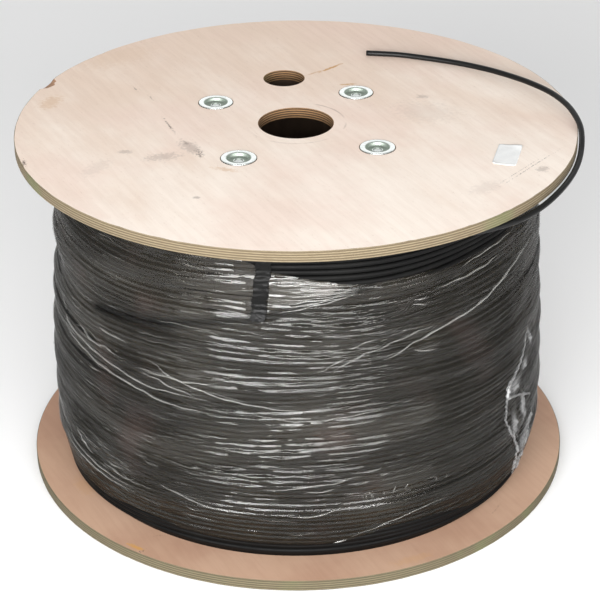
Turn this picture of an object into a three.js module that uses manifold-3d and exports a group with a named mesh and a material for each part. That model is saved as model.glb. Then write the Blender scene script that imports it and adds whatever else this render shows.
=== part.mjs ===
import * as THREE from 'three';
import { mergeVertices } from 'three/addons/utils/BufferGeometryUtils.js';
import Module from 'manifold-3d';

const wasm = await Module();
wasm.setup();

// A full cable reel standing on its end: two plywood flanges on a hollow barrel, wound with
// fibre optic cable. Millimetres, +Z up along the reel's axis, with the origin at the centre of
// the bottom flange's lower face.

// Flanges
const FLANGE_DIAMETER = 600;
const FLANGE_THICKNESS = 12;
const TRAVERSE = 371; // clear width between the flanges
const ARBOR_HOLE_DIAMETER = 80;
const START_HOLE_DIAMETER = 45; // the inner end of the cable is led out here
const START_HOLE_REACH = 123.7; // from the reel's axis to the hole's centre
const START_HOLE_ANGLE = 96;

// A flake missing from the upper edge of the top flange
const CHIP_ANGLE = 157.8;
const CHIP_LENGTH = 24;
const CHIP_REACH = 9; // inwards from the rim
const CHIP_DEPTH = 2.5;

// Barrel
const BARREL_DIAMETER = 310;
const BARREL_WALL = 5;

// Tie rods and the pressed cup washers that they draw together. The four holes are drilled a
// little off a true circle, so each has its own place in plan.
const BOLT_PLACES = [[66.5, 80.8], [-87.4, 56.3], [-59.5, -88.4], [85, -64.2]];
const ROD_DIAMETER = 8;
const ROD_SINK = 0.8; // the rod's end lies this far inside the sleeve
const WASHER_DIAMETER = 37;
const WASHER_SHEET = 1.6;
const TOP_RIM_RISE = 0.6; // the upper washers' rims are let in, and stand this far above the face
const CUP_MOUTH_DIAMETER = 25;
const CUP_FLOOR_DIAMETER = 22;
const CUP_DEPTH = 4; // from the washer's underside to the underside of the cup's floor
const SLEEVE_DIAMETER = 11.5;
const SLEEVE_RISE = 0.9; // above the cup's floor
const SLEEVE_DROP = 3; // below the cup's floor

// Winding: its outline swells between the flanges. Each pair is a share of the traverse and the
// extra radius there.
const CABLE_DIAMETER = 6.2;
const WINDING_END_DIAMETER = 521;
const WINDING_SWELL = [[0, 0], [0.05, 0], [0.13, 11.5], [0.33, 11.5], [0.5, 9.5], [0.67, 4.5], [1, 0.5]];

// The turns lie unevenly, so that they and the film over them rise and sink in bands
const BAND_TURNS = 6;
const BAND_DIP = 2; // where two bands meet

// Stretch film wrapped round the winding, several turns thick
const FILM_THICKNESS = 0.6;
const FILM_BOTTOM_SHARE = 0.05;
const FILM_TOP_SHARE = 0.95;

// Tape strip holding the film, hanging from under the top flange
const TAPE_WIDTH = 15;
const TAPE_LENGTH = 85;
const TAPE_THICKNESS = 0.5;
const TAPE_ANGLE = -98;

// Blank paper label on the top face
const LABEL_LENGTH = 50;
const LABEL_WIDTH = 25;
const LABEL_THICKNESS = 0.25;
const LABEL_REACH = 234.9;
const LABEL_ANGLE = -21.4;
const LABEL_TURN = 76.5; // from +X to its long side

// Fits
const CONTACT_GAP = 0.3; // between pieces that touch
const DRILL_CLEARANCE = 0.4; // round a washer's cup and sleeve in the wood

// Roundness
const RIM_SIDES = 144;
const BODY_SIDES = 60;
const HOLE_SIDES = 48;
const SMALL_SIDES = 20;
const ROD_SIDES = 16;
const CABLE_SIDES = 10;
const CABLE_STEPS = 56;

// Loose end of the cable. It leaves the last turn under the top flange, passes outside the rim
// and over it, and lies on the top face to its cut end. Each point is an angle about the axis in
// degrees, a distance from the axis, and a height above the top flange's upper face.
const LOOSE_END_ROUTE = [
  [-88, 264.9, -15.8],
  [-80, 265.6, -15.8],
  [-72, 269.2, -15.8],
  [-64, 276, -15.8],
  [-56, 285.6, -15.8],
  [-48, 296, -15.8],
  [-42, 302, -15.4],
  [-36, 304.6, -13.6],
  [-30, 305, -12],
  [-24, 305, -11],
  [-18, 305, -9.5],
  [-13, 304.8, -6.2],
  [-8.5, 304, -0.6],
  [-5, 302.6, 3.4],
  [-1.6, 299.6, 6.2],
  [4, 293.6, 8.6],
  [11, 284, 9.2],
  [17.9, 272.5, 8.4],
  [23.6, 263.6, 7],
  [30.9, 253, 5.4],
  [40.4, 238.6, 4],
  [49.8, 224.7, 3.5],
  [57.2, 215.6, 3.5],
  [66.5, 203.9, 3.5],
];

// Worked out from the sizes above
const REEL_HEIGHT = 2 * FLANGE_THICKNESS + TRAVERSE;
const BOTTOM_INNER_FACE = FLANGE_THICKNESS;
const TOP_INNER_FACE = FLANGE_THICKNESS + TRAVERSE;
const WINDING_BORE_RADIUS = BARREL_DIAMETER / 2 + CONTACT_GAP;
const SLEEVE_BORE_RADIUS = ROD_DIAMETER / 2 + CONTACT_GAP;
const CUP_OUTER_RADIUS = CUP_MOUTH_DIAMETER / 2 + WASHER_SHEET;
const BAND_COUNT = Math.round(TRAVERSE / (BAND_TURNS * CABLE_DIAMETER));

// Colours of the finishes
const PLYWOOD_FACE = { color: 0xe6d6c2, roughness: 0.75, metalness: 0 };
const FIBREBOARD = { color: 0x8a6a45, roughness: 0.9, metalness: 0 };
const CABLE_JACKET = { color: 0x161617, roughness: 0.45, metalness: 0 };
const CLEAR_FILM = { color: 0x55575a, roughness: 0.2, metalness: 0 };
const BLACK_TAPE = { color: 0x0d0d0e, roughness: 0.35, metalness: 0 };
const ZINC_PLATE = { color: 0xc6c9cb, roughness: 0.3, metalness: 1 };
const LABEL_PAPER = { color: 0xf0f0ee, roughness: 0.8, metalness: 0 };

const radians = THREE.MathUtils.degToRad;

/** A point on a circle about the origin of the XY plane. */
function polar(angle, radius) {
  return new THREE.Vector2(radius * Math.cos(radians(angle)), radius * Math.sin(radians(angle)));
}

/** A regular ring of points about a centre, as the outline of a disc or a hole. */
function ringOfPoints(centre, radius, sides) {
  const points = [];
  for (let i = 0; i < sides; i += 1) {
    points.push(polar((360 * i) / sides, radius).add(centre));
  }
  return points;
}

/** Turns a [radius, height] outline, listed anticlockwise, about the Z axis. */
function turned(outline, sides) {
  const points = outline.map(([radius, height]) => new THREE.Vector2(radius, height));
  if (outline[0][0] > 0) {
    points.push(points[0].clone());
  }
  return new THREE.LatheGeometry(points, sides).rotateX(Math.PI / 2);
}

/** The same outline seen from the other end of the reel, still anticlockwise. */
function facing(outline, side) {
  if (side > 0) {
    return outline;
  }
  return outline.map(([radius, height]) => [radius, -height]).reverse();
}

/** A closed solid for cutting, from any closed geometry. */
function toSolid(geometry) {
  const bare = geometry.clone();
  bare.deleteAttribute('normal');
  bare.deleteAttribute('uv');
  const merged = mergeVertices(bare, 1e-4);
  return new wasm.Manifold(new wasm.Mesh({
    numProp: 3,
    vertProperties: new Float32Array(merged.attributes.position.array),
    triVerts: new Uint32Array(merged.index.array),
  }));
}

/** A geometry from a solid that has been cut. */
function toGeometry(solid) {
  const mesh = solid.getMesh();
  const geometry = new THREE.BufferGeometry();
  geometry.setAttribute('position', new THREE.BufferAttribute(mesh.vertProperties, 3));
  geometry.setIndex(new THREE.BufferAttribute(mesh.triVerts, 1));
  geometry.computeVertexNormals();
  return geometry;
}

const reel = new THREE.Group();

/** Adds one named piece with its own finish. */
function addPiece(name, geometry, finish, place = [0, 0, 0]) {
  const piece = new THREE.Mesh(geometry, new THREE.MeshStandardMaterial(finish));
  piece.name = name;
  piece.position.set(...place);
  reel.add(piece);
  return piece;
}

/** The stepped seat drilled for one cup washer: rim recess, cup pocket and sleeve hole. */
function washerSeat(side, rimRecess) {
  const pocketRadius = CUP_OUTER_RADIUS + DRILL_CLEARANCE;
  const pocketFloor = -rimRecess - CUP_DEPTH;
  const sleeveRadius = SLEEVE_DIAMETER / 2 + DRILL_CLEARANCE;
  const mouth = 2;
  const outline = [[0, -FLANGE_THICKNESS - mouth], [sleeveRadius, -FLANGE_THICKNESS - mouth]];
  outline.push([sleeveRadius, pocketFloor]);
  outline.push([pocketRadius, pocketFloor]);
  outline.push([pocketRadius, -rimRecess]);
  outline.push([WASHER_DIAMETER / 2 + DRILL_CLEARANCE, -rimRecess]);
  outline.push([WASHER_DIAMETER / 2 + DRILL_CLEARANCE, mouth]);
  outline.push([0, mouth]);
  return turned(facing(outline, side), SMALL_SIDES);
}

/** The wedge of wood missing where the top flange's edge has flaked. */
function chipCutter() {
  const over = 2;
  const rim = FLANGE_DIAMETER / 2;
  const section = new THREE.Shape();
  section.moveTo(rim - CHIP_REACH, REEL_HEIGHT + over);
  section.lineTo(rim - CHIP_REACH, REEL_HEIGHT - CHIP_DEPTH / 3);
  section.lineTo(rim + over, REEL_HEIGHT - CHIP_DEPTH);
  section.lineTo(rim + over, REEL_HEIGHT + over);
  const wedge = new THREE.ExtrudeGeometry(section, { depth: CHIP_LENGTH, bevelEnabled: false });
  wedge.translate(0, 0, -CHIP_LENGTH / 2);
  wedge.rotateX(Math.PI / 2);
  wedge.rotateZ(radians(CHIP_ANGLE));
  return wedge;
}

/** One plywood disc with its arbor hole, start hole and washer seats. */
function flange(innerFace, side, rimRecess) {
  const disc = new THREE.Shape(ringOfPoints(new THREE.Vector2(), FLANGE_DIAMETER / 2, RIM_SIDES));
  const arbor = ringOfPoints(new THREE.Vector2(), ARBOR_HOLE_DIAMETER / 2, HOLE_SIDES);
  const startCentre = polar(START_HOLE_ANGLE, START_HOLE_REACH);
  const start = ringOfPoints(startCentre, START_HOLE_DIAMETER / 2, HOLE_SIDES);
  disc.holes.push(new THREE.Path(arbor), new THREE.Path(start));
  const plate = new THREE.ExtrudeGeometry(disc, { depth: FLANGE_THICKNESS, bevelEnabled: false });
  const lowerFace = side > 0 ? innerFace : innerFace - FLANGE_THICKNESS;
  const outerFace = innerFace + side * FLANGE_THICKNESS;
  let solid = toSolid(plate.translate(0, 0, lowerFace));
  for (const [x, y] of BOLT_PLACES) {
    const seat = washerSeat(side, rimRecess).translate(x, y, outerFace);
    solid = solid.subtract(toSolid(seat));
  }
  return solid;
}

/** The pressed washer: a flat rim, a cup and a threaded sleeve, drawn with its rim on height 0. */
function cupWasher(side) {
  const rimTop = CONTACT_GAP + WASHER_SHEET;
  const floorUnder = CONTACT_GAP - CUP_DEPTH;
  const floorTop = floorUnder + WASHER_SHEET;
  const outline = [
    [WASHER_DIAMETER / 2, CONTACT_GAP],
    [WASHER_DIAMETER / 2, rimTop],
    [CUP_MOUTH_DIAMETER / 2, rimTop],
    [CUP_FLOOR_DIAMETER / 2, floorTop],
    [SLEEVE_DIAMETER / 2, floorTop],
    [SLEEVE_DIAMETER / 2, floorTop + SLEEVE_RISE],
    [SLEEVE_BORE_RADIUS, floorTop + SLEEVE_RISE],
    [SLEEVE_BORE_RADIUS, floorUnder - SLEEVE_DROP],
    [SLEEVE_DIAMETER / 2, floorUnder - SLEEVE_DROP],
    [SLEEVE_DIAMETER / 2, floorUnder],
    [CUP_OUTER_RADIUS - WASHER_SHEET, floorUnder],
    [CUP_OUTER_RADIUS, CONTACT_GAP],
  ];
  return turned(facing(outline, side), SMALL_SIDES);
}

/** The winding's outer radius at a height: the swell, less the dip away from a band's middle. */
function windingRadius(height) {
  const share = (height - BOTTOM_INNER_FACE) / TRAVERSE;
  let swell = WINDING_SWELL[0][1];
  for (let i = 1; i < WINDING_SWELL.length; i += 1) {
    const [lowShare, lowSwell] = WINDING_SWELL[i - 1];
    const [highShare, highSwell] = WINDING_SWELL[i];
    const along = THREE.MathUtils.clamp((share - lowShare) / (highShare - lowShare), 0, 1);
    swell += along * (highSwell - lowSwell);
  }
  const awayFromMiddle = Math.abs(2 * ((share * BAND_COUNT) % 1) - 1);
  return WINDING_END_DIAMETER / 2 + swell - BAND_DIP * awayFromMiddle;
}

/** The winding's outline between two heights, upwards, moved out from the turns. */
function windingOutline(low, high, out) {
  const halfBand = TRAVERSE / BAND_COUNT / 2;
  const heights = Array.from({ length: 2 * BAND_COUNT + 1 }, (_, i) => BOTTOM_INNER_FACE + i * halfBand);
  const inside = heights.filter((height) => height > low + CONTACT_GAP && height < high - CONTACT_GAP);
  return [low, ...inside, high].map((height) => [windingRadius(height) + out, height]);
}

/** The coil as one turned ring on the barrel. */
function winding() {
  const low = BOTTOM_INNER_FACE + CONTACT_GAP;
  const high = TOP_INNER_FACE - CONTACT_GAP;
  const outline = windingOutline(low, high, 0);
  outline.push([WINDING_BORE_RADIUS, high], [WINDING_BORE_RADIUS, low]);
  return turned(outline, BODY_SIDES);
}

/** The film as a thin sleeve that follows the winding. */
function film() {
  const low = BOTTOM_INNER_FACE + FILM_BOTTOM_SHARE * TRAVERSE;
  const high = BOTTOM_INNER_FACE + FILM_TOP_SHARE * TRAVERSE;
  const inner = windingOutline(low, high, CONTACT_GAP).reverse();
  const outer = windingOutline(low, high, CONTACT_GAP + FILM_THICKNESS);
  return turned([...outer, ...inner], BODY_SIDES);
}

/** A strip of tape that lies on the film and follows its outline. */
function tape() {
  const high = TOP_INNER_FACE - CONTACT_GAP;
  const low = high - TAPE_LENGTH;
  const seat = 2 * CONTACT_GAP + FILM_THICKNESS;
  const outer = windingOutline(low, high, seat + TAPE_THICKNESS);
  const inner = windingOutline(low, high, seat).reverse();
  const corners = [...outer, ...inner].map(([radius, height]) => new THREE.Vector2(radius, height));
  const section = new THREE.Shape(corners);
  const strip = new THREE.ExtrudeGeometry(section, { depth: TAPE_WIDTH, bevelEnabled: false });
  strip.translate(0, 0, -TAPE_WIDTH / 2);
  strip.rotateX(Math.PI / 2);
  strip.rotateZ(radians(TAPE_ANGLE));
  return strip;
}

/** The hollow barrel between the flanges. */
function barrel() {
  const low = BOTTOM_INNER_FACE + CONTACT_GAP;
  const high = TOP_INNER_FACE - CONTACT_GAP;
  const outer = BARREL_DIAMETER / 2;
  const inner = outer - BARREL_WALL;
  return turned([[outer, low], [outer, high], [inner, high], [inner, low]], BODY_SIDES);
}

/** The cable's loose end as a round tube along its route. */
function looseEnd() {
  const points = LOOSE_END_ROUTE.map(([angle, radius, rise]) => {
    const place = polar(angle, radius);
    return new THREE.Vector3(place.x, place.y, REEL_HEIGHT + rise);
  });
  const route = new THREE.CatmullRomCurve3(points, false, 'centripetal');
  const section = new THREE.Shape(ringOfPoints(new THREE.Vector2(), CABLE_DIAMETER / 2, CABLE_SIDES));
  return new THREE.ExtrudeGeometry(section, { steps: CABLE_STEPS, extrudePath: route });
}

// Flanges: the lower one has its washers let in deeper, so that the reel stands flat
const bottomRimRecess = WASHER_SHEET + 2 * CONTACT_GAP;
const topRimRecess = WASHER_SHEET + CONTACT_GAP - TOP_RIM_RISE;
addPiece('flange_bottom', toGeometry(flange(BOTTOM_INNER_FACE, -1, bottomRimRecess)), PLYWOOD_FACE);
const topFlange = flange(TOP_INNER_FACE, 1, topRimRecess).subtract(toSolid(chipCutter()));
addPiece('flange_top', toGeometry(topFlange), PLYWOOD_FACE);

// Barrel and what is wound on it
addPiece('barrel', barrel(), FIBREBOARD);
addPiece('cable_winding', winding(), CABLE_JACKET);
addPiece('stretch_film', film(), CLEAR_FILM);
addPiece('tape_strip', tape(), BLACK_TAPE);
addPiece('loose_cable_end', looseEnd(), CABLE_JACKET);

// Rods and washers
const sleeveTop = CONTACT_GAP - CUP_DEPTH + WASHER_SHEET + SLEEVE_RISE;
const rodLow = bottomRimRecess - sleeveTop + ROD_SINK;
const topSeat = REEL_HEIGHT - topRimRecess;
const rodHigh = topSeat + sleeveTop - ROD_SINK;
BOLT_PLACES.forEach(([x, y], i) => {
  const rod = new THREE.CylinderGeometry(ROD_DIAMETER / 2, ROD_DIAMETER / 2, rodHigh - rodLow, ROD_SIDES);
  rod.rotateX(Math.PI / 2);
  addPiece(`tie_rod_${i + 1}`, rod, ZINC_PLATE, [x, y, (rodLow + rodHigh) / 2]);
  addPiece(`cup_washer_top_${i + 1}`, cupWasher(1), ZINC_PLATE, [x, y, topSeat]);
  addPiece(`cup_washer_bottom_${i + 1}`, cupWasher(-1), ZINC_PLATE, [x, y, bottomRimRecess]);
});

// Label
const labelPlace = polar(LABEL_ANGLE, LABEL_REACH);
const labelHeight = REEL_HEIGHT + CONTACT_GAP + LABEL_THICKNESS / 2;
const paper = new THREE.BoxGeometry(LABEL_LENGTH, LABEL_WIDTH, LABEL_THICKNESS).rotateZ(radians(LABEL_TURN));
addPiece('label', paper, LABEL_PAPER, [labelPlace.x, labelPlace.y, labelHeight]);

export default reel;
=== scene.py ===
# %% [markdown]
# A full reel of fibre optic cable, standing on its end. Two plywood discs are drawn on to a hollow
# barrel by four rods. The black cable is wound between them, clear stretch film is wrapped round
# the turns, and the loose end of the cable lies over the upper disc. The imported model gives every
# size, so it is loaded first and each new surface is fitted to it.

# %% Load the fixed frame
import math

import bpy
import numpy as np
from mathutils import Euler, Matrix, Vector
from mathutils.geometry import tessellate_polygon


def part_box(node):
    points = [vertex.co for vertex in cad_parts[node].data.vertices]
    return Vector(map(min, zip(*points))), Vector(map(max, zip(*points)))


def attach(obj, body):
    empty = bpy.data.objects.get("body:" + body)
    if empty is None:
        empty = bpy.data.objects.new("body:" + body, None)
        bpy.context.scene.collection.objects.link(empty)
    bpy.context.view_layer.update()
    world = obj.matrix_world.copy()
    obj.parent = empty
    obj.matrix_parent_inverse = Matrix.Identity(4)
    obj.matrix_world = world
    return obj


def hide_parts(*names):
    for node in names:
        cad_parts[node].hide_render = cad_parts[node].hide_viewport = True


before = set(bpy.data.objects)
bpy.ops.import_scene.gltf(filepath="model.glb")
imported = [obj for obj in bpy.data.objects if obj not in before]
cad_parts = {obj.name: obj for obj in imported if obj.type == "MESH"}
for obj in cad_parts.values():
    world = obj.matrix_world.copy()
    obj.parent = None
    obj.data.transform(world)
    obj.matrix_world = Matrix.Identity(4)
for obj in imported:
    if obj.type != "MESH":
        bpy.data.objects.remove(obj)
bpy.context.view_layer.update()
MM = 0.001
print("nodes in the frame:", len(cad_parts))

# %% [markdown]
# The camera stands a little above the reel and looks down at it. A long lens from a few metres
# keeps both discs nearly elliptical, as in a shop's picture of a product. A small shift frames
# the reel, and a slight roll tilts it as it is tilted in the photograph.

# %% Camera
CAMERA_ELEVATION = math.radians(28.216)
CAMERA_DISTANCE = 2.4282
CAMERA_LENS = 128.797
CAMERA_SHIFT = (0.00472, -0.03199)
CAMERA_ROLL = -0.0074

base_low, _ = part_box("flange_bottom")
_, face_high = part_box("flange_top")
REEL_HEIGHT = face_high.z - base_low.z
middle = Vector((0, 0, REEL_HEIGHT / 2))
camera = bpy.data.objects.new("camera", bpy.data.cameras.new("camera"))
camera.data.lens = CAMERA_LENS
camera.data.shift_x = CAMERA_SHIFT[0]
camera.data.shift_y = CAMERA_SHIFT[1]
looking = Euler((math.pi / 2 - CAMERA_ELEVATION, 0, 0)).to_matrix() @ Matrix.Rotation(CAMERA_ROLL, 3, "Z")
away = Vector((0, -math.cos(CAMERA_ELEVATION), math.sin(CAMERA_ELEVATION)))
camera.matrix_world = Matrix.Translation(middle + CAMERA_DISTANCE * away) @ looking.to_4x4()
bpy.context.scene.collection.objects.link(camera)
bpy.context.scene.camera = camera
print("camera at", [round(x, 3) for x in camera.location])

# %% [markdown]
# Every new surface here is a grid of points. One function turns a whole array of points into a
# mesh, and joins the last row or column to the first where the surface closes on itself. Working
# on arrays keeps a hundred thousand points quick to make.

# %% From a grid of points to a mesh
def grid_quads(rows, columns, close_rows=False, close_columns=False, start=0):
    """Corner numbers of the quads of a grid: a point, the next in its row, and the two above them."""
    row = np.arange(rows if close_rows else rows - 1)
    column = np.arange(columns if close_columns else columns - 1)
    r, c = np.meshgrid(row, column, indexing="ij")
    here = r * columns
    above = (r + 1) % rows * columns
    c_next = (c + 1) % columns
    quads = np.stack([here + c, here + c_next, above + c_next, above + c], -1)
    return quads.reshape(-1, 4) + start


def add_mesh(name, points, faces, materials, face_material=None, smooth=True):
    """Makes an object from points and a list of face arrays, each with its own corner count."""
    mesh = bpy.data.meshes.new(name)
    points = np.asarray(points, np.float64).reshape(-1, 3)
    corners = np.concatenate([f.ravel() for f in faces])
    sizes = np.concatenate([np.full(len(f), f.shape[1]) for f in faces])
    mesh.vertices.add(len(points))
    mesh.vertices.foreach_set("co", points.ravel())
    mesh.loops.add(len(corners))
    mesh.loops.foreach_set("vertex_index", corners.astype(np.int32))
    mesh.polygons.add(len(sizes))
    mesh.polygons.foreach_set("loop_start", (np.cumsum(sizes) - sizes).astype(np.int32))
    for material in materials:
        mesh.materials.append(material)
    if face_material is not None:
        mesh.polygons.foreach_set("material_index", np.asarray(face_material, np.int32))
    smooth_faces = np.broadcast_to(smooth, len(sizes))
    mesh.polygons.foreach_set("use_smooth", np.ascontiguousarray(smooth_faces, dtype=bool))
    mesh.update()
    mesh.validate()
    piece = bpy.data.objects.new(name, mesh)
    bpy.context.scene.collection.objects.link(piece)
    return piece


# %% [markdown]
# Three more helpers serve every piece. One keeps a number at each point, for a material to read.
# One turns an outline about the upright axis, which is how a lathe would make a round part. The
# last says which CAD node a finished piece stands for and what carries it.

# %% Attributes, turned parts and places in the frame
def store(piece, name, values):
    """Keeps one number for each point of a piece, for its material to read."""
    attribute = piece.data.attributes.new(name, "FLOAT", "POINT")
    attribute.data.foreach_set("value", np.asarray(values, np.float32).ravel())


def turned(outline, sides):
    """Turns a closed outline of radius and height, listed anticlockwise, about the Z axis."""
    outline = np.asarray(outline, float)
    angle = np.linspace(0, 2 * np.pi, sides, endpoint=False)[None, :]
    radius = outline[:, 0][:, None]
    height = np.broadcast_to(outline[:, 1][:, None], (len(outline), sides))
    points = np.stack([radius * np.cos(angle), radius * np.sin(angle), height], -1)
    return points, grid_quads(len(outline), sides, close_rows=True, close_columns=True)


def settle(piece, slot, *nodes):
    """Hides the CAD nodes that a piece stands for and lets it ride on the reel; its slot is not used."""
    if nodes:
        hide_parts(*nodes)
    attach(piece, "root")
    print(piece.name, "has", len(piece.data.polygons), "faces")


# %% [markdown]
# Materials are built from a handful of nodes. A small builder makes a node, sets its sockets and
# wires it in one line, so that each finish below reads as a short recipe.

# %% A builder for node recipes
class Recipe:
    """One material, with its shader and short ways to add nodes to it."""

    def __init__(self, name, **sockets):
        self.material = bpy.data.materials.new(name)
        self.material.use_nodes = True
        self.tree = self.material.node_tree
        self.shader = self.tree.nodes["Principled BSDF"]
        for socket, value in sockets.items():
            self.set(self.shader, socket.replace("_", " "), value)

    def set(self, node, socket, value):
        """Wires an output to a socket, or sets the socket to a value."""
        target = node.inputs[socket]
        if isinstance(value, bpy.types.NodeSocket):
            self.tree.links.new(value, target)
        else:
            target.default_value = value

    def node(self, kind, sockets=(), **settings):
        """Adds a node with its settings and sockets."""
        made = self.tree.nodes.new(kind)
        for name, value in settings.items():
            setattr(made, name, value)
        for socket, value in dict(sockets).items():
            self.set(made, socket, value)
        return made

    def place(self, scale=(1, 1, 1), turn=0.0, offset=(0, 0, 0)):
        """Object coordinates in metres, moved, turned about Z and stretched."""
        coordinates = self.node("ShaderNodeTexCoord").outputs["Object"]
        sockets = {"Vector": coordinates, "Location": offset, "Rotation": (0, 0, turn)}
        moved = self.node("ShaderNodeMapping", sockets).outputs[0]
        return self.node("ShaderNodeMapping", {"Vector": moved, "Scale": scale}).outputs[0]

    def noise(self, place, scale, detail=4.0, roughness=0.55):
        """Soft noise, from 0 to 1."""
        sockets = {"Vector": place, "Scale": scale, "Detail": detail, "Roughness": roughness}
        return self.node("ShaderNodeTexNoise", sockets).outputs[0]

    def math(self, operation, first, second=0.0, clamp=False):
        """One sum on two numbers."""
        made = self.node("ShaderNodeMath", {0: first, 1: second}, operation=operation)
        made.use_clamp = clamp
        return made.outputs[0]

    def span(self, value, low, high, to_low=0.0, to_high=1.0):
        """Takes a number from one range to another, smoothly and without passing its ends."""
        sockets = {"Value": value, "From Min": low, "From Max": high}
        sockets |= {"To Min": to_low, "To Max": to_high}
        return self.node("ShaderNodeMapRange", sockets, interpolation_type="SMOOTHSTEP").outputs[0]

    def mix(self, share, first, second, blend="MIX"):
        """Mixes two colours by a share."""
        sockets = {0: share, 6: first, 7: second}
        return self.node("ShaderNodeMix", sockets, data_type="RGBA", blend_type=blend).outputs[2]

    def bump(self, height, distance, strength=1.0, under=None):
        """Lifts the surface's shading by a height, on top of an earlier bump."""
        sockets = {"Height": height, "Distance": distance, "Strength": strength}
        if under is not None:
            sockets["Normal"] = under
        return self.node("ShaderNodeBump", sockets).outputs[0]

    def finish(self, paint=None, rough=None, lift=None):
        """Wires colour, roughness and bump to the shader, and hands back the material."""
        for socket, value in (("Base Color", paint), ("Roughness", rough), ("Normal", lift)):
            if value is not None:
                self.set(self.shader, socket, value)
        return self.material


def colour(red, green, blue):
    """A shader colour from an everyday 0 to 255 one."""
    channels = np.array([red, green, blue]) / 255
    linear = np.where(channels <= 0.04045, channels / 12.92, ((channels + 0.055) / 1.055) ** 2.4)
    return (*linear.tolist(), 1.0)


# %% [markdown]
# The cable has a black polyethylene jacket. It is smooth from the die, so its highlights are soft
# but clear, and handling has left it slightly dull in patches. The wound turns get a less glossy
# copy of it: partly a duller coil, partly painted shade that keeps the bare turns under the upper
# disc black.

# %% Cable jacket
def jacket_finish(name, gloss, smooth, dark, dusty):
    """Black plastic with a fine drawn texture and dusty patches."""
    recipe = Recipe(name, IOR=1.5, Specular_IOR_Level=gloss)
    place = recipe.place()
    dust = recipe.span(recipe.noise(place, 18.0), 0.45, 0.75)
    paint = recipe.mix(dust, colour(dark, dark, dark), colour(dusty, dusty, dusty - 1))
    rough = recipe.span(recipe.noise(place, 60.0), 0.3, 0.7, smooth, smooth + 0.15)
    return recipe.finish(paint, rough, recipe.bump(recipe.noise(place, 700.0, 2.0), 0.00006))


jacket = jacket_finish("cable_jacket", 0.3, 0.38, 7, 13)
# Painted shade, in part: the wound turns reflect less, so the bare turns under the upper disc stay black.
wound_jacket_dull_and_shaded = jacket_finish("cable_jacket_wound_dull_and_shaded", 0.12, 0.5, 7, 14)
print("finishes:", jacket.name, "and", wound_jacket_dull_and_shaded.name)

# %% [markdown]
# The loose end is cut off square. It leaves the last turn under the upper disc, swings out past
# the rim, climbs over it and settles on the face in one easy curve. The route is a list of points
# chosen along the real cable, joined by a smooth curve whose steps follow the spacing of the
# points, so it neither loops nor kinks between them.

# %% Route of the loose end
CABLE_RADIUS = 3.1 * MM
LEAD_IN = [[-106, 258.6, -15.8], [-97, 261.6, -15.8]]
LOOSE_END_ROUTE = [
    [-88, 264.9, -15.8], [-80, 265.6, -15.8], [-72, 269.2, -15.8], [-64, 276, -15.8],
    [-56, 285.6, -15.8], [-48, 296, -15.8], [-42, 302, -15.4], [-36, 304.6, -13.6],
    [-30, 305, -12], [-24, 305, -11], [-18, 305, -9.5], [-13, 304.8, -6.2],
    [-8.5, 304, -0.6], [-5, 302.6, 3.4], [-1.6, 299.6, 6.2], [4, 293.6, 8.6],
    [11, 284, 9.2], [17.9, 272.5, 8.4], [23.6, 263.6, 7], [30.9, 253, 5.4],
    [40.4, 238.6, 4], [49.8, 224.7, 3.5], [57.2, 215.6, 3.5], [66.5, 203.9, 3.5],
]


def route_points(polar_points):
    """Angle in degrees, distance and height above the upper face in millimetres, as points in metres."""
    angle, radius, rise = np.array(polar_points, float).T
    angle = np.radians(angle)
    return np.stack([radius * np.cos(angle) * MM, radius * np.sin(angle) * MM, REEL_HEIGHT + rise * MM], -1)


def smooth_line(points, steps):
    """A centripetal curve: each span blends four points, timed by the root of their spacing."""
    ends = [2 * points[0] - points[1], *points, 2 * points[-1] - points[-2]]
    p = np.array(ends)
    gaps = np.sqrt(np.linalg.norm(np.diff(p, axis=0), axis=1))
    t = np.concatenate([[0], np.cumsum(gaps)])
    spans = np.arange(1, len(p) - 2)
    share = np.linspace(0, 1, steps, endpoint=False)
    now = (t[spans][:, None] + share * (t[spans + 1] - t[spans])[:, None])[..., None]
    knot = [t[spans + k][:, None, None] for k in (-1, 0, 1, 2)]
    point = [p[spans + k][:, None, :] for k in (-1, 0, 1, 2)]

    def between(a, b, ta, tb):
        return ((tb - now) * a + (now - ta) * b) / (tb - ta)

    a = [between(point[k], point[k + 1], knot[k], knot[k + 1]) for k in range(3)]
    b = [between(a[k], a[k + 1], knot[k], knot[k + 2]) for k in range(2)]
    line = between(b[0], b[1], knot[1], knot[2])
    return np.vstack([line.reshape(-1, 3), p[-2]])


loose_line = smooth_line(route_points(LEAD_IN + LOOSE_END_ROUTE), 12)


# %% [markdown]
# A cable is a circle carried along its route. Each ring of points stands square to the line, and
# the upright axis keeps the rings from twisting. A curve object with a round bevel would give the
# same tube, but rings of points leave its cut end free to be shaped.

# %% Tube along a line
def tube(line, radius, sides):
    """Carries a circle along a line. Each ring lies square to the line, kept upright by the Z axis."""
    ahead = np.gradient(line, axis=0)
    ahead /= np.linalg.norm(ahead, axis=1, keepdims=True)
    across = np.cross(ahead, [0, 0, 1.0])
    across /= np.linalg.norm(across, axis=1, keepdims=True)
    above = np.cross(across, ahead)
    angle = np.linspace(0, 2 * np.pi, sides, endpoint=False)[None, :, None]
    circle = np.cos(angle) * across[:, None] + np.sin(angle) * above[:, None]
    return line[:, None] + radius * circle, ahead


CABLE_SIDES = 20
rings, ahead = tube(loose_line, CABLE_RADIUS, CABLE_SIDES)
print("rings along the loose end:", len(rings))
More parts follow.
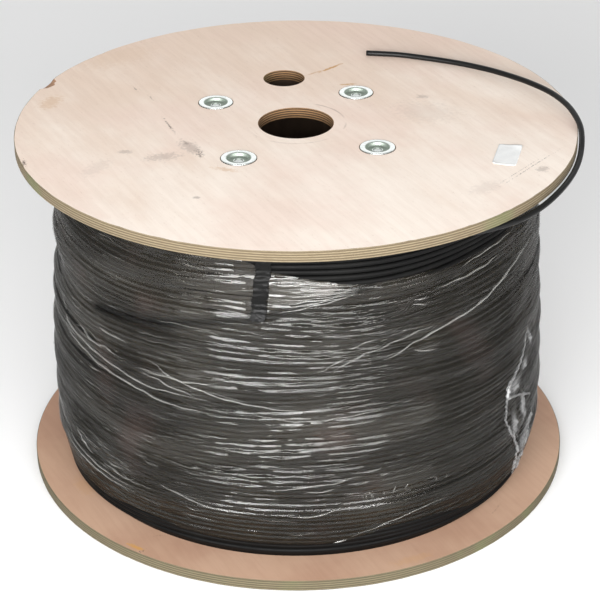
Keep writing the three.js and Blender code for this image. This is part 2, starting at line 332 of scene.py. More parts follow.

# %% [markdown]
# At the cut the black jacket shows as a thin rim, and the pale core lies a little deeper. So two
# smaller rings follow the last one, and a flat cap in the core's finish closes them.

# %% Loose end of the cable
JACKET_WALL = 1.1 * MM
CORE_SUNK = 0.6 * MM
cut_rim = rings[-1] + (loose_line[-1] - rings[-1]) * (JACKET_WALL / CABLE_RADIUS)
sunk_rim = cut_rim - ahead[-1] * CORE_SUNK
loose_points = np.vstack([rings.reshape(-1, 3), cut_rim, sunk_rim])
quads = grid_quads(len(rings) + 2, CABLE_SIDES, close_columns=True)
start_cap = np.arange(CABLE_SIDES)[None, ::-1]
end_cap = (np.arange(CABLE_SIDES) + (len(rings) + 1) * CABLE_SIDES)[None, ::-1]
core = Recipe("cable_core", Roughness=0.6)
core_grain = core.noise(core.place(), 2500.0, 2.0)
core.finish(core.mix(core_grain, colour(170, 160, 130), colour(225, 222, 214)))
which = np.zeros(len(quads) + 2)
which[-1] = 1
faces = [quads[:, ::-1], start_cap, end_cap]
loose_end = add_mesh("loose_end", loose_points, faces, [jacket, core.material], which)
settle(loose_end, "cable_jacket", "loose_cable_end")

# %% [markdown]
# Handling has marked the plywood with grey rubs, small dark nicks, a scribed circle round the
# middle hole and yellow-brown resin streaks. Each mark is a soft ellipse laid on the face in
# millimetres, broken up by noise so that it has no clean outline. A painted picture could do the
# same, but a list of places stays sharp at any distance and needs no file.

# %% Marks on the plywood
RUBS = [
    # x, y, length, width, direction in degrees, strength
    (-111, -60, 24, 11, -62, 0.42), (-138, -84, 24, 12, 15, 0.34), (-178, -71, 10, 6, 0, 0.35),
    (142, 27, 46, 34, -20, 0.12), (139, 68, 9, 7, 0, 0.35), (251, -121, 10, 8, 40, 0.42),
    (190, -163, 26, 14, 45, 0.14), (-100, -181, 5, 3.5, 0, 0.5), (-205, -110, 30, 12, 60, 0.12),
]
NICK_LINES = [
    (-178, 96, 9, 1.2, -65, 0.5), (-159, 70, 8, 1.2, -65, 0.5), (-135, -6, 22, 1.6, -70, 0.8),
    (-101, -76, 11, 4, -75, 0.7), (-116, -50, 9, 2.5, -60, 0.5),
    (243, -112, 48, 0.9, 52, 0.6), (225, -128, 40, 0.8, 52, 0.5), (-281, -96, 9, 2.5, -75, 0.9),
]
RESIN = [
    (40, 152, 22, 2.6, 44, 0.9), (20, 137, 16, 1.8, 38, 0.5), (58, 104, 12, 3.0, 8, 0.8),
    (-72, -116, 18, 5.0, -20, 0.35), (-268, 60, 24, 14, 70, 0.3), (-203, 190, 60, 34, 40, 0.1),
]
LOWER_NICKS = [
    (-166, -243, 4, 2.2, 40, 0.9), (-150, -216, 9, 1.2, 10, 0.35), (214, -170, 12, 1.2, 60, 0.3),
]
LOWER_RESIN = [
    (-173, -236.5, 13, 3.6, -36, 1.0), (-236, -120, 26, 12, -60, 0.2), (120, -262, 30, 8, 24, 0.2),
]
SCRIBE_RADIUS = 53.5


def soft_marks(recipe, place, marks, ragged):
    """The strongest of several ellipses, each fading outwards and roughened by noise."""
    total = None
    for x, y, length, width, direction, strength in marks:
        shift = {"Vector": place, "Location": (-x * MM, -y * MM, 0)}
        moved = recipe.node("ShaderNodeMapping", shift).outputs[0]
        turn = {"Vector": moved, "Rotation": (0, 0, -math.radians(direction))}
        turned_place = recipe.node("ShaderNodeMapping", turn).outputs[0]
        size = {"Vector": turned_place, "Scale": (1 / (length * MM), 1 / (width * MM), 0)}
        scaled = recipe.node("ShaderNodeMapping", size).outputs[0]
        reach = recipe.node("ShaderNodeVectorMath", {0: scaled}, operation="LENGTH").outputs["Value"]
        mark = recipe.span(recipe.math("ADD", reach, ragged), 1.0, 0.35, 0.0, strength)
        total = mark if total is None else recipe.math("MAXIMUM", total, mark)
    return total


def scribed_circle(recipe, place):
    """A thin line at one distance from the axis, the root of x squared plus y squared, in broken parts."""
    part = recipe.node("ShaderNodeSeparateXYZ", {0: place}).outputs
    squares = [recipe.math("POWER", part[k], 2.0) for k in (0, 1)]
    reach = recipe.math("SQRT", recipe.math("ADD", *squares))
    off_line = recipe.math("ABSOLUTE", recipe.math("SUBTRACT", reach, SCRIBE_RADIUS * MM))
    broken = recipe.span(recipe.noise(place, 22.0), 0.42, 0.6, 0.0, 0.4)
    return recipe.math("MULTIPLY", recipe.span(off_line, 1.6 * MM, 0.3 * MM), broken)


print("marks on the upper face:", len(RUBS + NICK_LINES + RESIN))

# %% [markdown]
# The face is a pale rotary-cut veneer. Its grain runs steeply across the disc as faint streaks,
# over soft pink and cream patches that pass from pale to warm across the disc. Part of that pass
# is painted light: the front is painted paler and lighter, and the back warmer and darker. Noise
# stretched along the grain gives the streaks, and broad noise gives the patches. The lower disc is
# a darker and browner sheet of the same wood, so it is the same recipe with other colours.

# %% Plywood face
GRAIN_TURN = math.radians(63)


def plywood_face_finish(name, pale, warm, pink, rubs, nicks, resin):
    """Veneer: painted light makes it pale at the front and warm and darker at the back, streaked along the
    grain, then marked.
    """
    recipe = Recipe(name, Roughness=0.72, IOR=1.45)
    flat = recipe.place()
    broad = recipe.place(scale=(0.5, 1.0, 1.0), turn=GRAIN_TURN)
    along = recipe.place(scale=(0.07, 1.0, 1.0), turn=GRAIN_TURN)
    part = recipe.node("ShaderNodeSeparateXYZ", {0: flat}).outputs
    mottle = recipe.noise(broad, 15.0, 5.0, 0.62)
    # Painted light: the colour runs paler and lighter towards the front and warmer and darker towards the
    # back.
    painted_light_forward = recipe.math("MULTIPLY", part[1], -1.0)
    painted_light_forward = recipe.math("ADD", painted_light_forward, recipe.math("MULTIPLY", part[0], 0.3))
    uneven = recipe.math("MULTIPLY", recipe.math("SUBTRACT", mottle, 0.5), 0.9)
    body = recipe.mix(recipe.span(recipe.math("ADD", painted_light_forward, uneven), -0.3, 0.3), warm, pale)
    blush = recipe.span(recipe.noise(recipe.place(offset=(3, 1, 0)), 6.0, 4.0, 0.6), 0.42, 0.66)
    body = recipe.mix(recipe.math("MULTIPLY", blush, 0.5), body, pink)
    streaks = recipe.span(recipe.noise(along, 150.0, 6.0, 0.7), 0.4, 0.62)
    deeper = recipe.mix(1.0, body, colour(160, 122, 94), "MULTIPLY")
    body = recipe.mix(recipe.math("MULTIPLY", streaks, 0.07), body, deeper)
    fleck_place = recipe.place(scale=(0.3, 1, 1), turn=GRAIN_TURN)
    flecks = recipe.span(recipe.noise(fleck_place, 420.0, 3.0, 0.7), 0.6, 0.74)
    body = recipe.mix(recipe.math("MULTIPLY", flecks, 0.22), body, colour(168, 138, 116))
    fine = recipe.math("SUBTRACT", recipe.noise(flat, 240.0, 4.0, 0.7), 0.5)
    ragged = recipe.math("MULTIPLY", fine, 2.2)
    grit = recipe.math("SUBTRACT", recipe.noise(flat, 520.0, 3.0, 0.7), 0.46)
    speckle = recipe.math("MULTIPLY", grit, 6.0)
    body = recipe.mix(soft_marks(recipe, flat, nicks, speckle), body, colour(86, 70, 62))
    body = recipe.mix(soft_marks(recipe, flat, resin, ragged), body, colour(196, 148, 88))
    if rubs:
        body = recipe.mix(soft_marks(recipe, flat, rubs, ragged), body, colour(142, 128, 122))
        body = recipe.mix(scribed_circle(recipe, flat), body, colour(128, 108, 96))
    fibres = recipe.bump(recipe.noise(along, 700.0, 4.0, 0.7), 0.0001)
    rough = recipe.span(mottle, 0.3, 0.7, 0.62, 0.8)
    return recipe.finish(body, rough, recipe.bump(mottle, 0.0012, 0.4, fibres))


upper_face = plywood_face_finish(
    "plywood_face_upper", colour(250, 238, 226), colour(233, 211, 193), colour(236, 210, 196),
    RUBS, NICK_LINES, RESIN,
)
lower_face = plywood_face_finish(
    "plywood_face_lower", colour(192, 158, 134), colour(180, 143, 117), colour(168, 128, 106),
    [], LOWER_NICKS, LOWER_RESIN,
)
print("finishes:", upper_face.name, "and", lower_face.name)

# %% [markdown]
# The sawn edge shows the plies. Layers whose grain runs into the saw are darker and rougher than
# those cut along it, dark glue lines part them, and here and there the wood is stained green or
# brown. The layers are worked out from the height within the board, so a disc's rim and its holes
# show the same stack. The holes were burnt a darker brown by the cutter, and get colours of their
# own.

# %% Plywood edge
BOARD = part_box("flange_top")[1].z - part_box("flange_top")[0].z
PLIES = 9


def plywood_edge_finish(name, board_low, dark, pale):
    """Plies in turn dark and pale by height, with glue lines between and stains along the rim."""
    recipe = Recipe(name, Roughness=0.85, IOR=1.4)
    place = recipe.place()
    height = recipe.node("ShaderNodeSeparateXYZ", {0: place}).outputs[2]
    uneven = recipe.math("SUBTRACT", recipe.noise(place, 9.0, 3.0), 0.5)
    wavy = recipe.math("ADD", height, recipe.math("MULTIPLY", uneven, 0.9 * MM))
    up = recipe.math("DIVIDE", recipe.math("SUBTRACT", wavy, board_low), BOARD / PLIES)
    ply = recipe.span(recipe.math("PINGPONG", up, 1.0), 0.42, 0.58)
    glue = recipe.span(recipe.math("PINGPONG", recipe.math("ADD", up, 0.5), 0.5), 0.12, 0.0)
    streaks = recipe.noise(recipe.place(scale=(1, 1, 9)), 120.0, 4.0, 0.7)
    body = recipe.mix(ply, dark, pale)
    body = recipe.mix(recipe.span(streaks, 0.35, 0.75, 0.0, 0.5), body, colour(98, 82, 62))
    body = recipe.mix(recipe.math("MULTIPLY", glue, 0.6), body, colour(62, 50, 38))
    stain = recipe.span(recipe.noise(place, 11.0, 2.0), 0.6, 0.72, 0.0, 0.55)
    body = recipe.mix(stain, body, colour(98, 104, 70))
    saw = recipe.bump(recipe.noise(recipe.place(scale=(1, 1, 4)), 420.0, 4.0, 0.75), 0.0005)
    return recipe.finish(body, lift=recipe.bump(ply, 0.0003, 0.5, saw))


def edge_pair(tag, dark, pale):
    """The same cut through the upper and the lower board, each with its own colours."""
    return [
        plywood_edge_finish(f"plywood_{tag}_{side}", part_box(node)[0].z, dark[k], pale[k])
        for k, (side, node) in enumerate((("upper", "flange_top"), ("lower", "flange_bottom")))
    ]


upper_edge, lower_edge = edge_pair(
    "edge", [colour(90, 78, 60), colour(74, 69, 52)], [colour(134, 122, 98), colour(110, 103, 81)]
)
upper_bore, lower_bore = edge_pair("bore", [colour(54, 34, 20)] * 2, [colour(140, 106, 70)] * 2)
torn = Recipe("torn_ply", Roughness=0.9)
torn_grain = torn.noise(torn.place(scale=(1, 0.2, 1), turn=1.0), 500.0)
torn_paint = torn.mix(torn_grain, colour(160, 116, 84), colour(206, 164, 132))
torn.finish(torn_paint, lift=torn.bump(torn_grain, 0.0008))
print("plies in a board:", PLIES)

# %% [markdown]
# Each disc is cut from a 12 mm board. Its rim and holes are rings of points carried down a small
# profile that breaks the sharp corners. On the upper disc a flake of the edge has torn off at the
# left, so there the profile is pulled in and down. Cutting the shapes from solid bodies would
# need many more faces, so the rings are written out instead. Their sizes come first.

# %% Sizes of the discs
RIM_SIDES = 360
SEAT_SIDES = 40
CORNER = 0.7 * MM
FLANGE_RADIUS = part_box("flange_top")[1].x
ARBOR_RADIUS, START_RADIUS = 40 * MM, 22.5 * MM
START_REACH, START_TURN = 123.7 * MM, math.radians(96)
START_HOLE = (START_REACH * math.cos(START_TURN), START_REACH * math.sin(START_TURN))
BOLTS = []
for number in range(1, 5):
    low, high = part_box(f"tie_rod_{number}")
    BOLTS.append(((low.x + high.x) / 2, (low.y + high.y) / 2))
CHIP_ANGLE = 157.8
CHIP_HALF = 2.9
CHIP_DEPTHS = (9 * MM, 7.4 * MM, 0.4 * MM)
NICKS = 26
print("bolts at", [(round(x, 3), round(y, 3)) for x, y in BOLTS])


def ring(centre, radius, sides, height):
    """A level circle of points about a centre."""
    a = np.linspace(0, 2 * np.pi, sides, endpoint=False)
    x, y = centre[0] + radius * np.cos(a), centre[1] + radius * np.sin(a)
    return np.stack([x, y, np.full(sides, height)], -1)


def from_chip(angle):
    """Degrees from the middle of the torn flake, either way."""
    return (np.degrees(angle) - CHIP_ANGLE + 180) % 360 - 180


def seat_profile(recess):
    """Radii and depths of one washer seat, from the face inwards: rim, cup and sleeve steps."""
    edge = [(19.4, 0.0), (19.05, 0.35), (19.05, recess / MM), (14.5, recess / MM)]
    drilled = [(14.5, recess / MM + 4), (6.15, recess / MM + 4), (6.15, BOARD / MM)]
    return np.array(edge + drilled) * MM


# %% [markdown]
# The rim is never a clean circle. Its corner wears unevenly, which two slow sines give, and small
# nicks are bells at seeded places, so they are the same in every run. The holes keep a plain
# broken corner, and each bolt has a stepped seat for its washer.

# %% Rings of one disc
def rim_rings(outer_z, side, rng, chipped):
    """Rings down the rim: the radius less an inset, which wear, nicks and the flake make deeper."""
    angle = np.linspace(0, 2 * np.pi, RIM_SIDES, endpoint=False)
    nick = np.zeros(RIM_SIDES)
    for at in rng.uniform(0, 2 * np.pi, NICKS):
        off = np.abs((angle - at + np.pi) % (2 * np.pi) - np.pi)
        nick += rng.uniform(0.2, 1.3) * np.exp(-((off / rng.uniform(0.006, 0.02)) ** 2))
    soft = CORNER * (1 + 0.35 * np.sin(angle * 37) * np.sin(angle * 11 + 1)) + nick * MM * 0.7
    chip = np.clip((1 - np.abs(from_chip(angle) / CHIP_HALF) ** 3), 0, 1) * chipped
    ragged = 1 + 0.18 * np.sin(angle * 311) + 0.12 * np.sin(angle * 173 + 2)
    level = np.zeros(RIM_SIDES)
    inset = [
        soft + chip * CHIP_DEPTHS[0] * ragged,
        soft * 0.3 + chip * CHIP_DEPTHS[1] * ragged,
        chip * CHIP_DEPTHS[2],
        level,
        level + CORNER,
    ]
    depth = [
        level,
        soft * 0.3 + chip * 1.1 * MM,
        soft + chip * 2.4 * MM,
        level + BOARD - CORNER,
        level + BOARD,
    ]
    rings = []
    for i, d in zip(inset, depth):
        r = FLANGE_RADIUS - i
        rings.append(np.stack([r * np.cos(angle), r * np.sin(angle), outer_z - side * d], -1))
    return np.array(rings)


def disc_rings(outer_z, side, rng, chipped, recess):
    """Every wall of one disc as its rings, from the outer face to the inner one: rim, holes, seats."""
    walls = [(rim_rings(outer_z, side, rng, chipped), True)]
    lip = [(CORNER, 0), (CORNER * 0.3, CORNER * 0.3), (0, CORNER)]
    lip += [(0, BOARD - CORNER), (CORNER, BOARD)]
    for centre, radius, sides in ((START_HOLE, START_RADIUS, 96), ((0, 0), ARBOR_RADIUS, 128)):
        rings = [ring(centre, radius + i, sides, outer_z - side * d) for i, d in lip]
        walls.append((np.array(rings), False))
    for centre in BOLTS:
        rings = [ring(centre, r, SEAT_SIDES, outer_z - side * d) for r, d in seat_profile(recess)]
        walls.append((np.array(rings), False))
    return walls


# %% [markdown]
# Quads join each ring to the next, and the two flat faces are filled between the end rings with
# triangles. The faces of one mesh may have different materials: veneer on the flat, plies on the
# rim, burnt plies in the holes and torn wood in the flake.

# %% Plywood discs
TOP_RECESS = 1.3 * MM
BOTTOM_RECESS = 2.2 * MM
FACE, EDGE, TORN, BORE = range(4)


def filled_face(ends, up):
    """Triangles between the end rings of one face, turned to point up or down."""
    numbers = np.concatenate([start + np.arange(len(ring)) for ring, start in ends])
    flat = [[Vector((*p[:2], 0)) for p in ring] for ring, _ in ends]
    triangles = np.array(tessellate_polygon(flat))
    places = np.vstack([ring for ring, _ in ends])
    a, b, c = (places[triangles[:, k], :2] for k in range(3))
    turn = (b - a)[:, 0] * (c - a)[:, 1] - (b - a)[:, 1] * (c - a)[:, 0]
    return numbers[np.where((turn * up > 0)[:, None], triangles, triangles[:, ::-1])]


def plywood_disc(name, node, side, seed, chipped, recess, face, edge, bore):
    """A disc from its rings: quads between the rings, and the two faces filled between the end rings."""
    low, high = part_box(node)
    outer_z = high.z if side > 0 else low.z
    walls = disc_rings(outer_z, side, np.random.default_rng(seed), chipped, recess)
    points, faces, which, smooth, ends, count = [], [], [], [], ([], []), 0
    for rings, is_rim in walls:
        quads = grid_quads(len(rings), rings.shape[1], close_columns=True, start=count)
        outward = is_rim == (side < 0)
        faces.append(quads if outward else quads[:, ::-1])
        material = np.full(len(quads), EDGE if is_rim else BORE)
        if is_rim and chipped:
            in_chip = np.abs(from_chip(np.arctan2(rings[0][:, 1], rings[0][:, 0]))) < CHIP_HALF
            material[: 2 * rings.shape[1]][np.tile(in_chip, 2)] = TORN
        which.append(material)
        smooth.append(np.ones(len(quads), bool))
        ends[0].append((rings[0], count))
        ends[1].append((rings[-1], count + (len(rings) - 1) * rings.shape[1]))
        points.append(rings.reshape(-1, 3))
        count += rings.shape[0] * rings.shape[1]
    for end, up in ((ends[0], side), (ends[1], -side)):
        faces.append(filled_face(end, up))
        which.append(np.full(len(faces[-1]), FACE))
        smooth.append(np.zeros(len(faces[-1]), bool))
    materials = [face, edge, torn.material, bore]
    which, smooth = np.concatenate(which), np.concatenate(smooth)
    piece = add_mesh(name, np.vstack(points), faces, materials, which, smooth)
    settle(piece, "plywood", node)


plywood_disc("upper_disc", "flange_top", 1, 5, 1.0, TOP_RECESS, upper_face, upper_edge, upper_bore)
plywood_disc("lower_disc", "flange_bottom", -1, 8, 0.0, BOTTOM_RECESS, lower_face, lower_edge, lower_bore)

# %% [markdown]
# The cup washers are pressed from zinc-plated sheet: a broad bright rim, a duller round cup and a
# raised sleeve with the end of the rod inside. The plating is one metal with soft clouds, and a
# number kept at each point says where the cup and the sleeve's bore are rougher and painted a
# darker grey-green as shade.

# %% Zinc plating
def zinc_finish():
    """A slightly blue-green metal with soft clouds and fine scratches, rougher in the cup and painted a
    darker grey-green there as shade.
    """
    recipe = Recipe("zinc_plate", Metallic=1.0)
    place = recipe.place()
    cloud = recipe.noise(place, 160.0, 3.0)
    plated = recipe.mix(cloud, colour(240, 243, 242), colour(214, 222, 218))
    # Painted shade: where the number says cup, the colour goes to a darker grey-green; the extra roughness
    # is the cup's duller finish.
    cup = recipe.node("ShaderNodeAttribute", attribute_name="cup").outputs["Fac"]
    paint = recipe.mix(cup, plated, colour(176, 186, 176))
    scratched = recipe.span(recipe.noise(place, 420.0, 3.0), 0.3, 0.7, 0.2, 0.36)
    rough = recipe.math("ADD", scratched, recipe.math("MULTIPLY", cup, 0.3))
    return recipe.finish(paint, rough, recipe.bump(recipe.noise(place, 900.0, 3.0), 0.00008))


zinc = zinc_finish()
print("finish:", zinc.name)

# %% [markdown]
# A washer is round, so one outline turned about the bolt's line gives all of it. The same outline
# upside down makes the washers below.

# %% Cup washers
def washer_outline():
    """The washer's section in millimetres, anticlockwise: rim, cup, sleeve, bore and underside."""
    top, floor_top, floor_under = 1.9, -2.1, -3.7
    rim = [[18.5, 0.6], [18.5, 1.5], [18.45, 1.75], [18.2, top], [16, top], [13.6, top], [12.9, 1.7]]
    cup = [[12.4, 1.2], [12.0, 0.2], [11.6, -1.2], [11.0, -1.85], [10.2, floor_top], [7.2, floor_top]]
    sleeve = [[6.2, -1.95], [5.7, -1.5], [5.5, -1.2], [4.9, -1.15], [4.45, -1.5], [4.3, -2.2]]
    under = [[4.3, -6.6], [5.6, -6.6], [5.6, floor_under], [12.2, floor_under], [13.8, 0.3], [17.8, 0.3]]
    return np.array(rim + cup + sleeve + under) * MM


WASHER_SIDES = 64
CUP_INNER, CUP_OUTER, SLEEVE_BORE = 5.9, 13.0, 4.6


def cup_washer(name, node, side):
    """One washer, turned about its bolt and set on its disc's outer face."""
    low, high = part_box(node)
    outline = washer_outline()
    if side < 0:
        outline = outline[::-1] * [1, -1]
    points, quads = turned(outline, WASHER_SIDES)
    seat = high.z - outline[:, 1].max() if side > 0 else low.z - outline[:, 1].min()
    points = points + np.array([(low.x + high.x) / 2, (low.y + high.y) / 2, seat])
    piece = add_mesh(name, points, [quads[:, ::-1]], [zinc])
    radius = outline[:, 0] / MM
    # Painted shade goes in the cup and in the sleeve's bore.
    painted_shade_in_cup = ((radius > CUP_INNER) & (radius < CUP_OUTER)) | (radius < SLEEVE_BORE)
    store(piece, "cup", np.repeat(painted_shade_in_cup, WASHER_SIDES))
    settle(piece, "zinc_plate", node)


for number in range(1, 5):
    cup_washer(f"washer_above_{number}", f"cup_washer_top_{number}", 1)
    cup_washer(f"washer_below_{number}", f"cup_washer_bottom_{number}", -1)

# %% [markdown]
# The rods and the barrel stay as they are in the frame, for their shapes are right, and hardly
# anything of them shows. The rods get a threaded look from rings of painted light and shade along
# their length, and the barrel gets a brown board.

# %% Rods and barrel
HALF_THREAD = 0.6 * MM


def rod_finish():
    """Plated thread: fine rings along the rod, painted light and dark in turn by height as the thread's
    light and shade.
    """
    recipe = Recipe("rod_thread", Metallic=1.0, Roughness=0.35)
    height = recipe.node("ShaderNodeSeparateXYZ", {0: recipe.place()}).outputs[2]
    # Painted light and shade: each thread ring is lighter on one half and darker on the other.
    shade = recipe.span(recipe.math("PINGPONG", height, HALF_THREAD), 0.0, HALF_THREAD)
    paint = recipe.mix(shade, colour(150, 156, 154), colour(214, 218, 216))
    return recipe.finish(paint, lift=recipe.bump(shade, 0.0004))


def barrel_finish():
    """Brown fibreboard with faint mottling and long scuffs."""
    recipe = Recipe("fibreboard", Roughness=0.9)
    mottle = recipe.noise(recipe.place(scale=(1, 1, 0.25)), 70.0, 5.0)
    paint = recipe.mix(mottle, colour(44, 32, 22), colour(70, 52, 36))
    return recipe.finish(paint, lift=recipe.bump(mottle, 0.0006))


def refinish(node, material):
    """Gives a CAD node one material in place of its own."""
    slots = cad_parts[node].data.materials
    slots.clear()
    slots.append(material)


rod_material = rod_finish()
for number in range(1, 5):
    refinish(f"tie_rod_{number}", rod_material)
refinish("barrel", barrel_finish())
print("finishes on the frame's own nodes:", rod_material.name, "and fibreboard")

# %% [markdown]
# The coil is one cable laid in some sixty turns across each layer, and only its outermost layer
# shows. It swells in the lower half of the reel. Each turn climbs by one cable's thickness, so a
# turn's number gives its angle and its height.

# %% Size of the coil
winding_low, winding_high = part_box("cable_winding")
WINDING_FLOOR = winding_low.z
WINDING_TOP = winding_high.z
SWELL = [
    # share of the height, swell in mm
    (0, 0), (0.03, 0.2), (0.08, 6.2), (0.13, 10.4), (0.22, 11.6),
    (0.33, 11.6), (0.5, 9.4), (0.67, 4.6), (0.82, 2.2), (1, 0.5),
]
END_RADIUS = 260.5 * MM
BANDS = 10
BAND_DIP = 2 * MM
PITCH = 6.2 * MM
FIRST_HEIGHT = WINDING_FLOOR + CABLE_RADIUS
LAST_HEIGHT = REEL_HEIGHT - 15.8 * MM
TURNS = (LAST_HEIGHT - FIRST_HEIGHT) / PITCH
LAST_TURN_ANGLE = math.radians(-106)
FIRST_ANGLE = LAST_TURN_ANGLE - 2 * math.pi * TURNS
print("turns in the outer layer:", round(TURNS, 1))

# %% [markdown]
# No turn lies quite straight. Turns wander sideways together, and the layer has broad hollows.
# Both are sums of waves round the reel and along it, so any point on the coil can be asked for
# its wander. Each turn also rides a little high or low, and some sink between their neighbours.
# Random knots along the cable give that, joined smoothly.

# %% How the turns wander
rng = np.random.default_rng(21)


def waves(rng, count, around, along, size):
    """Random waves, each a whole number round the reel, a rate along it, a phase and a size."""
    whole = rng.integers(1, around + 1, count)
    rate = rng.uniform(-along, along, count)
    phase = rng.uniform(0, 2 * np.pi, count)
    weight = rng.uniform(0.5, 1, count)
    return whole, rate, phase, weight * size / np.sqrt((weight**2).sum() / 2)


def wave_sum(parts, angle, height):
    """The sum of the waves at each angle and height."""
    total = np.zeros(np.broadcast(angle, height).shape)
    for whole, rate, phase, weight in zip(*parts):
        total += weight * np.cos(whole * angle + rate * height + phase)
    return total


def ease(value, low, high):
    """0 below low, 1 above high, and a smooth rise between."""
    share = np.clip((value - low) / (high - low), 0, 1)
    return share * share * (3 - 2 * share)


def along_knots(knots, at):
    """A number that passes smoothly through a row of knots."""
    at = np.clip(at, 0, len(knots) - 2)
    whole = np.floor(at).astype(int)
    share = ease(at - whole, 0, 1)
    return knots[whole] * (1 - share) + knots[whole + 1] * share


sideways = waves(rng, 12, 7, 40, 1.6 * MM)
band_drift = waves(rng, 8, 3, 12, 5 * MM)
hollows = waves(rng, 14, 9, 110, 0.45 * MM)
KNOTS_A_TURN = 9
rise_knots = rng.normal(0, 0.32, int((TURNS + 3) * KNOTS_A_TURN)) * MM
sunk = rng.random(len(rise_knots)) < 0.1
rise_knots[sunk] -= rng.uniform(0.8, 1.8, sunk.sum()) * MM
print("knots along the cable:", len(rise_knots), "of which sunk:", int(sunk.sum()))

# %% [markdown]
# The crest line of the turns is the swell, less a shallow dip where two bands of turns meet, plus
# the hollows. At the left the film draws the turns in to a small waist, with a hump under it. The
# film and the tape ask the same functions, so they follow the turns exactly.

# %% Crest line of the turns
PINCH_ANGLE, PINCH_REACH = math.radians(-178), 0.5
PINCHES = [
    # size in mm, height and half width in metres
    (-3.2, 0.262, 0.011), (2.2, 0.243, 0.01),
]
EDGE_ROOM = 25 * MM


def swell_radius(height):
    """The coil's outer radius at a height: the swell, less a cosine dip where two bands meet."""
    share = (height - WINDING_FLOOR) / (WINDING_TOP - WINDING_FLOOR)
    knots, values = np.array(SWELL).T
    spread = np.linspace(-0.02, 0.02, 5)
    swell = MM * sum(np.interp(share + s, knots, values) for s in spread) / len(spread)
    return END_RADIUS + swell - BAND_DIP * (0.5 + 0.5 * np.cos(2 * np.pi * BANDS * share))


def pinch(angle, height):
    """A waist where the film draws the turns in at the left, and a hump under it."""
    off = (angle - PINCH_ANGLE + np.pi) % (2 * np.pi) - np.pi
    near = np.exp(-((off / PINCH_REACH) ** 2))
    waist = sum(size * np.exp(-(((height - at) / reach) ** 2)) for size, at, reach in PINCHES)
    return near * waist * MM


def turn_shift(angle, height):
    """How far the turns stray sideways, fading to nothing against the discs."""
    room = ease(height, WINDING_FLOOR, WINDING_FLOOR + EDGE_ROOM)
    room = room * ease(WINDING_TOP - height, 0, EDGE_ROOM)
    return room * wave_sum(sideways, angle, height)


def turn_rise(turn):
    """How high one turn rides, from its own knots, smooth along the cable."""
    return along_knots(rise_knots, turn * KNOTS_A_TURN)


def ridge_radius(angle, height):
    """The radius that the turns' crests reach, before each turn's own rise."""
    drift = wave_sum(band_drift, angle, height)
    return swell_radius(height + drift) + wave_sum(hollows, angle, height) + pinch(angle, height)


radii = ridge_radius(np.radians(-90), np.linspace(WINDING_FLOOR, WINDING_TOP, 100))
print("crest line from", round(radii.min(), 4), "to", round(radii.max(), 4), "m")

# %% [markdown]
# The outer layer is one long tube. Its section has eight points, more of them on the side that
# shows, because sixty turns need many rings. The last turn leads into the loose end.

# %% Outer layer of turns
STEPS_A_TURN = 180
SECTION = np.radians([-86, -52, -17, 17, 52, 86, 140, 220])
JOIN_TURNS = 0.12
JOIN_RADIUS = 258.6 * MM


def outer_layer():
    """One long tube: at each step round the reel its centre climbs by the pitch and follows the wander."""
    turn = np.linspace(0, TURNS, int(TURNS * STEPS_A_TURN))
    angle = FIRST_ANGLE + 2 * np.pi * turn
    nominal = FIRST_HEIGHT + PITCH * turn
    height = nominal + turn_shift(angle, nominal)
    radius = ridge_radius(angle, nominal) - CABLE_RADIUS + turn_rise(turn)
    join = ease(turn, TURNS - JOIN_TURNS, TURNS)
    radius = radius * (1 - join) + JOIN_RADIUS * join
    out = radius[:, None] + CABLE_RADIUS * np.cos(SECTION)
    up = height[:, None] + CABLE_RADIUS * np.sin(SECTION)
    return np.stack([out * np.cos(angle)[:, None], out * np.sin(angle)[:, None], up], -1)


layer = outer_layer()
sides = len(SECTION)
quads = grid_quads(len(layer), sides, close_columns=True)[:, ::-1]
caps = [np.arange(sides)[None, :], (np.arange(sides) + (len(layer) - 1) * sides)[None, ::-1]]
turns = add_mesh("cable_turns", layer, [quads, *caps], [wound_jacket_dull_and_shaded])
settle(turns, "cable_jacket")

# %% [markdown]
# Under it lie some sixteen more layers, of which nothing shows but a dark gap here and there. One
# ring turned about the axis stands for them. It keeps the swell of the coil, a little smaller, and
# its bore fits the barrel.

# %% Inner layers of the coil
CORE_DEPTH = 3.4 * MM
BORE_RADIUS = 155.3 * MM
CORE_LEVELS = 40
heights = np.linspace(WINDING_FLOOR, WINDING_TOP, CORE_LEVELS)
outline = np.stack([swell_radius(heights) - CORE_DEPTH, heights], -1).tolist()
outline += [[BORE_RADIUS, WINDING_TOP], [BORE_RADIUS, WINDING_FLOOR]]
CORE_SIDES = 144
core_points, core_quads = turned(outline, CORE_SIDES)
inner_layers = add_mesh("inner_layers", core_points, [core_quads[:, ::-1]], [wound_jacket_dull_and_shaded])
settle(inner_layers, "cable_jacket", "cable_winding")

# %% [markdown]
# The stretch film is a few passes of thin clear sheet, pulled tight round the coil. Its upper and
# lower edges rise and fall, and one long taut fold slants across it under the tape. All three are
# lines drawn on the unrolled film, as angles and heights.

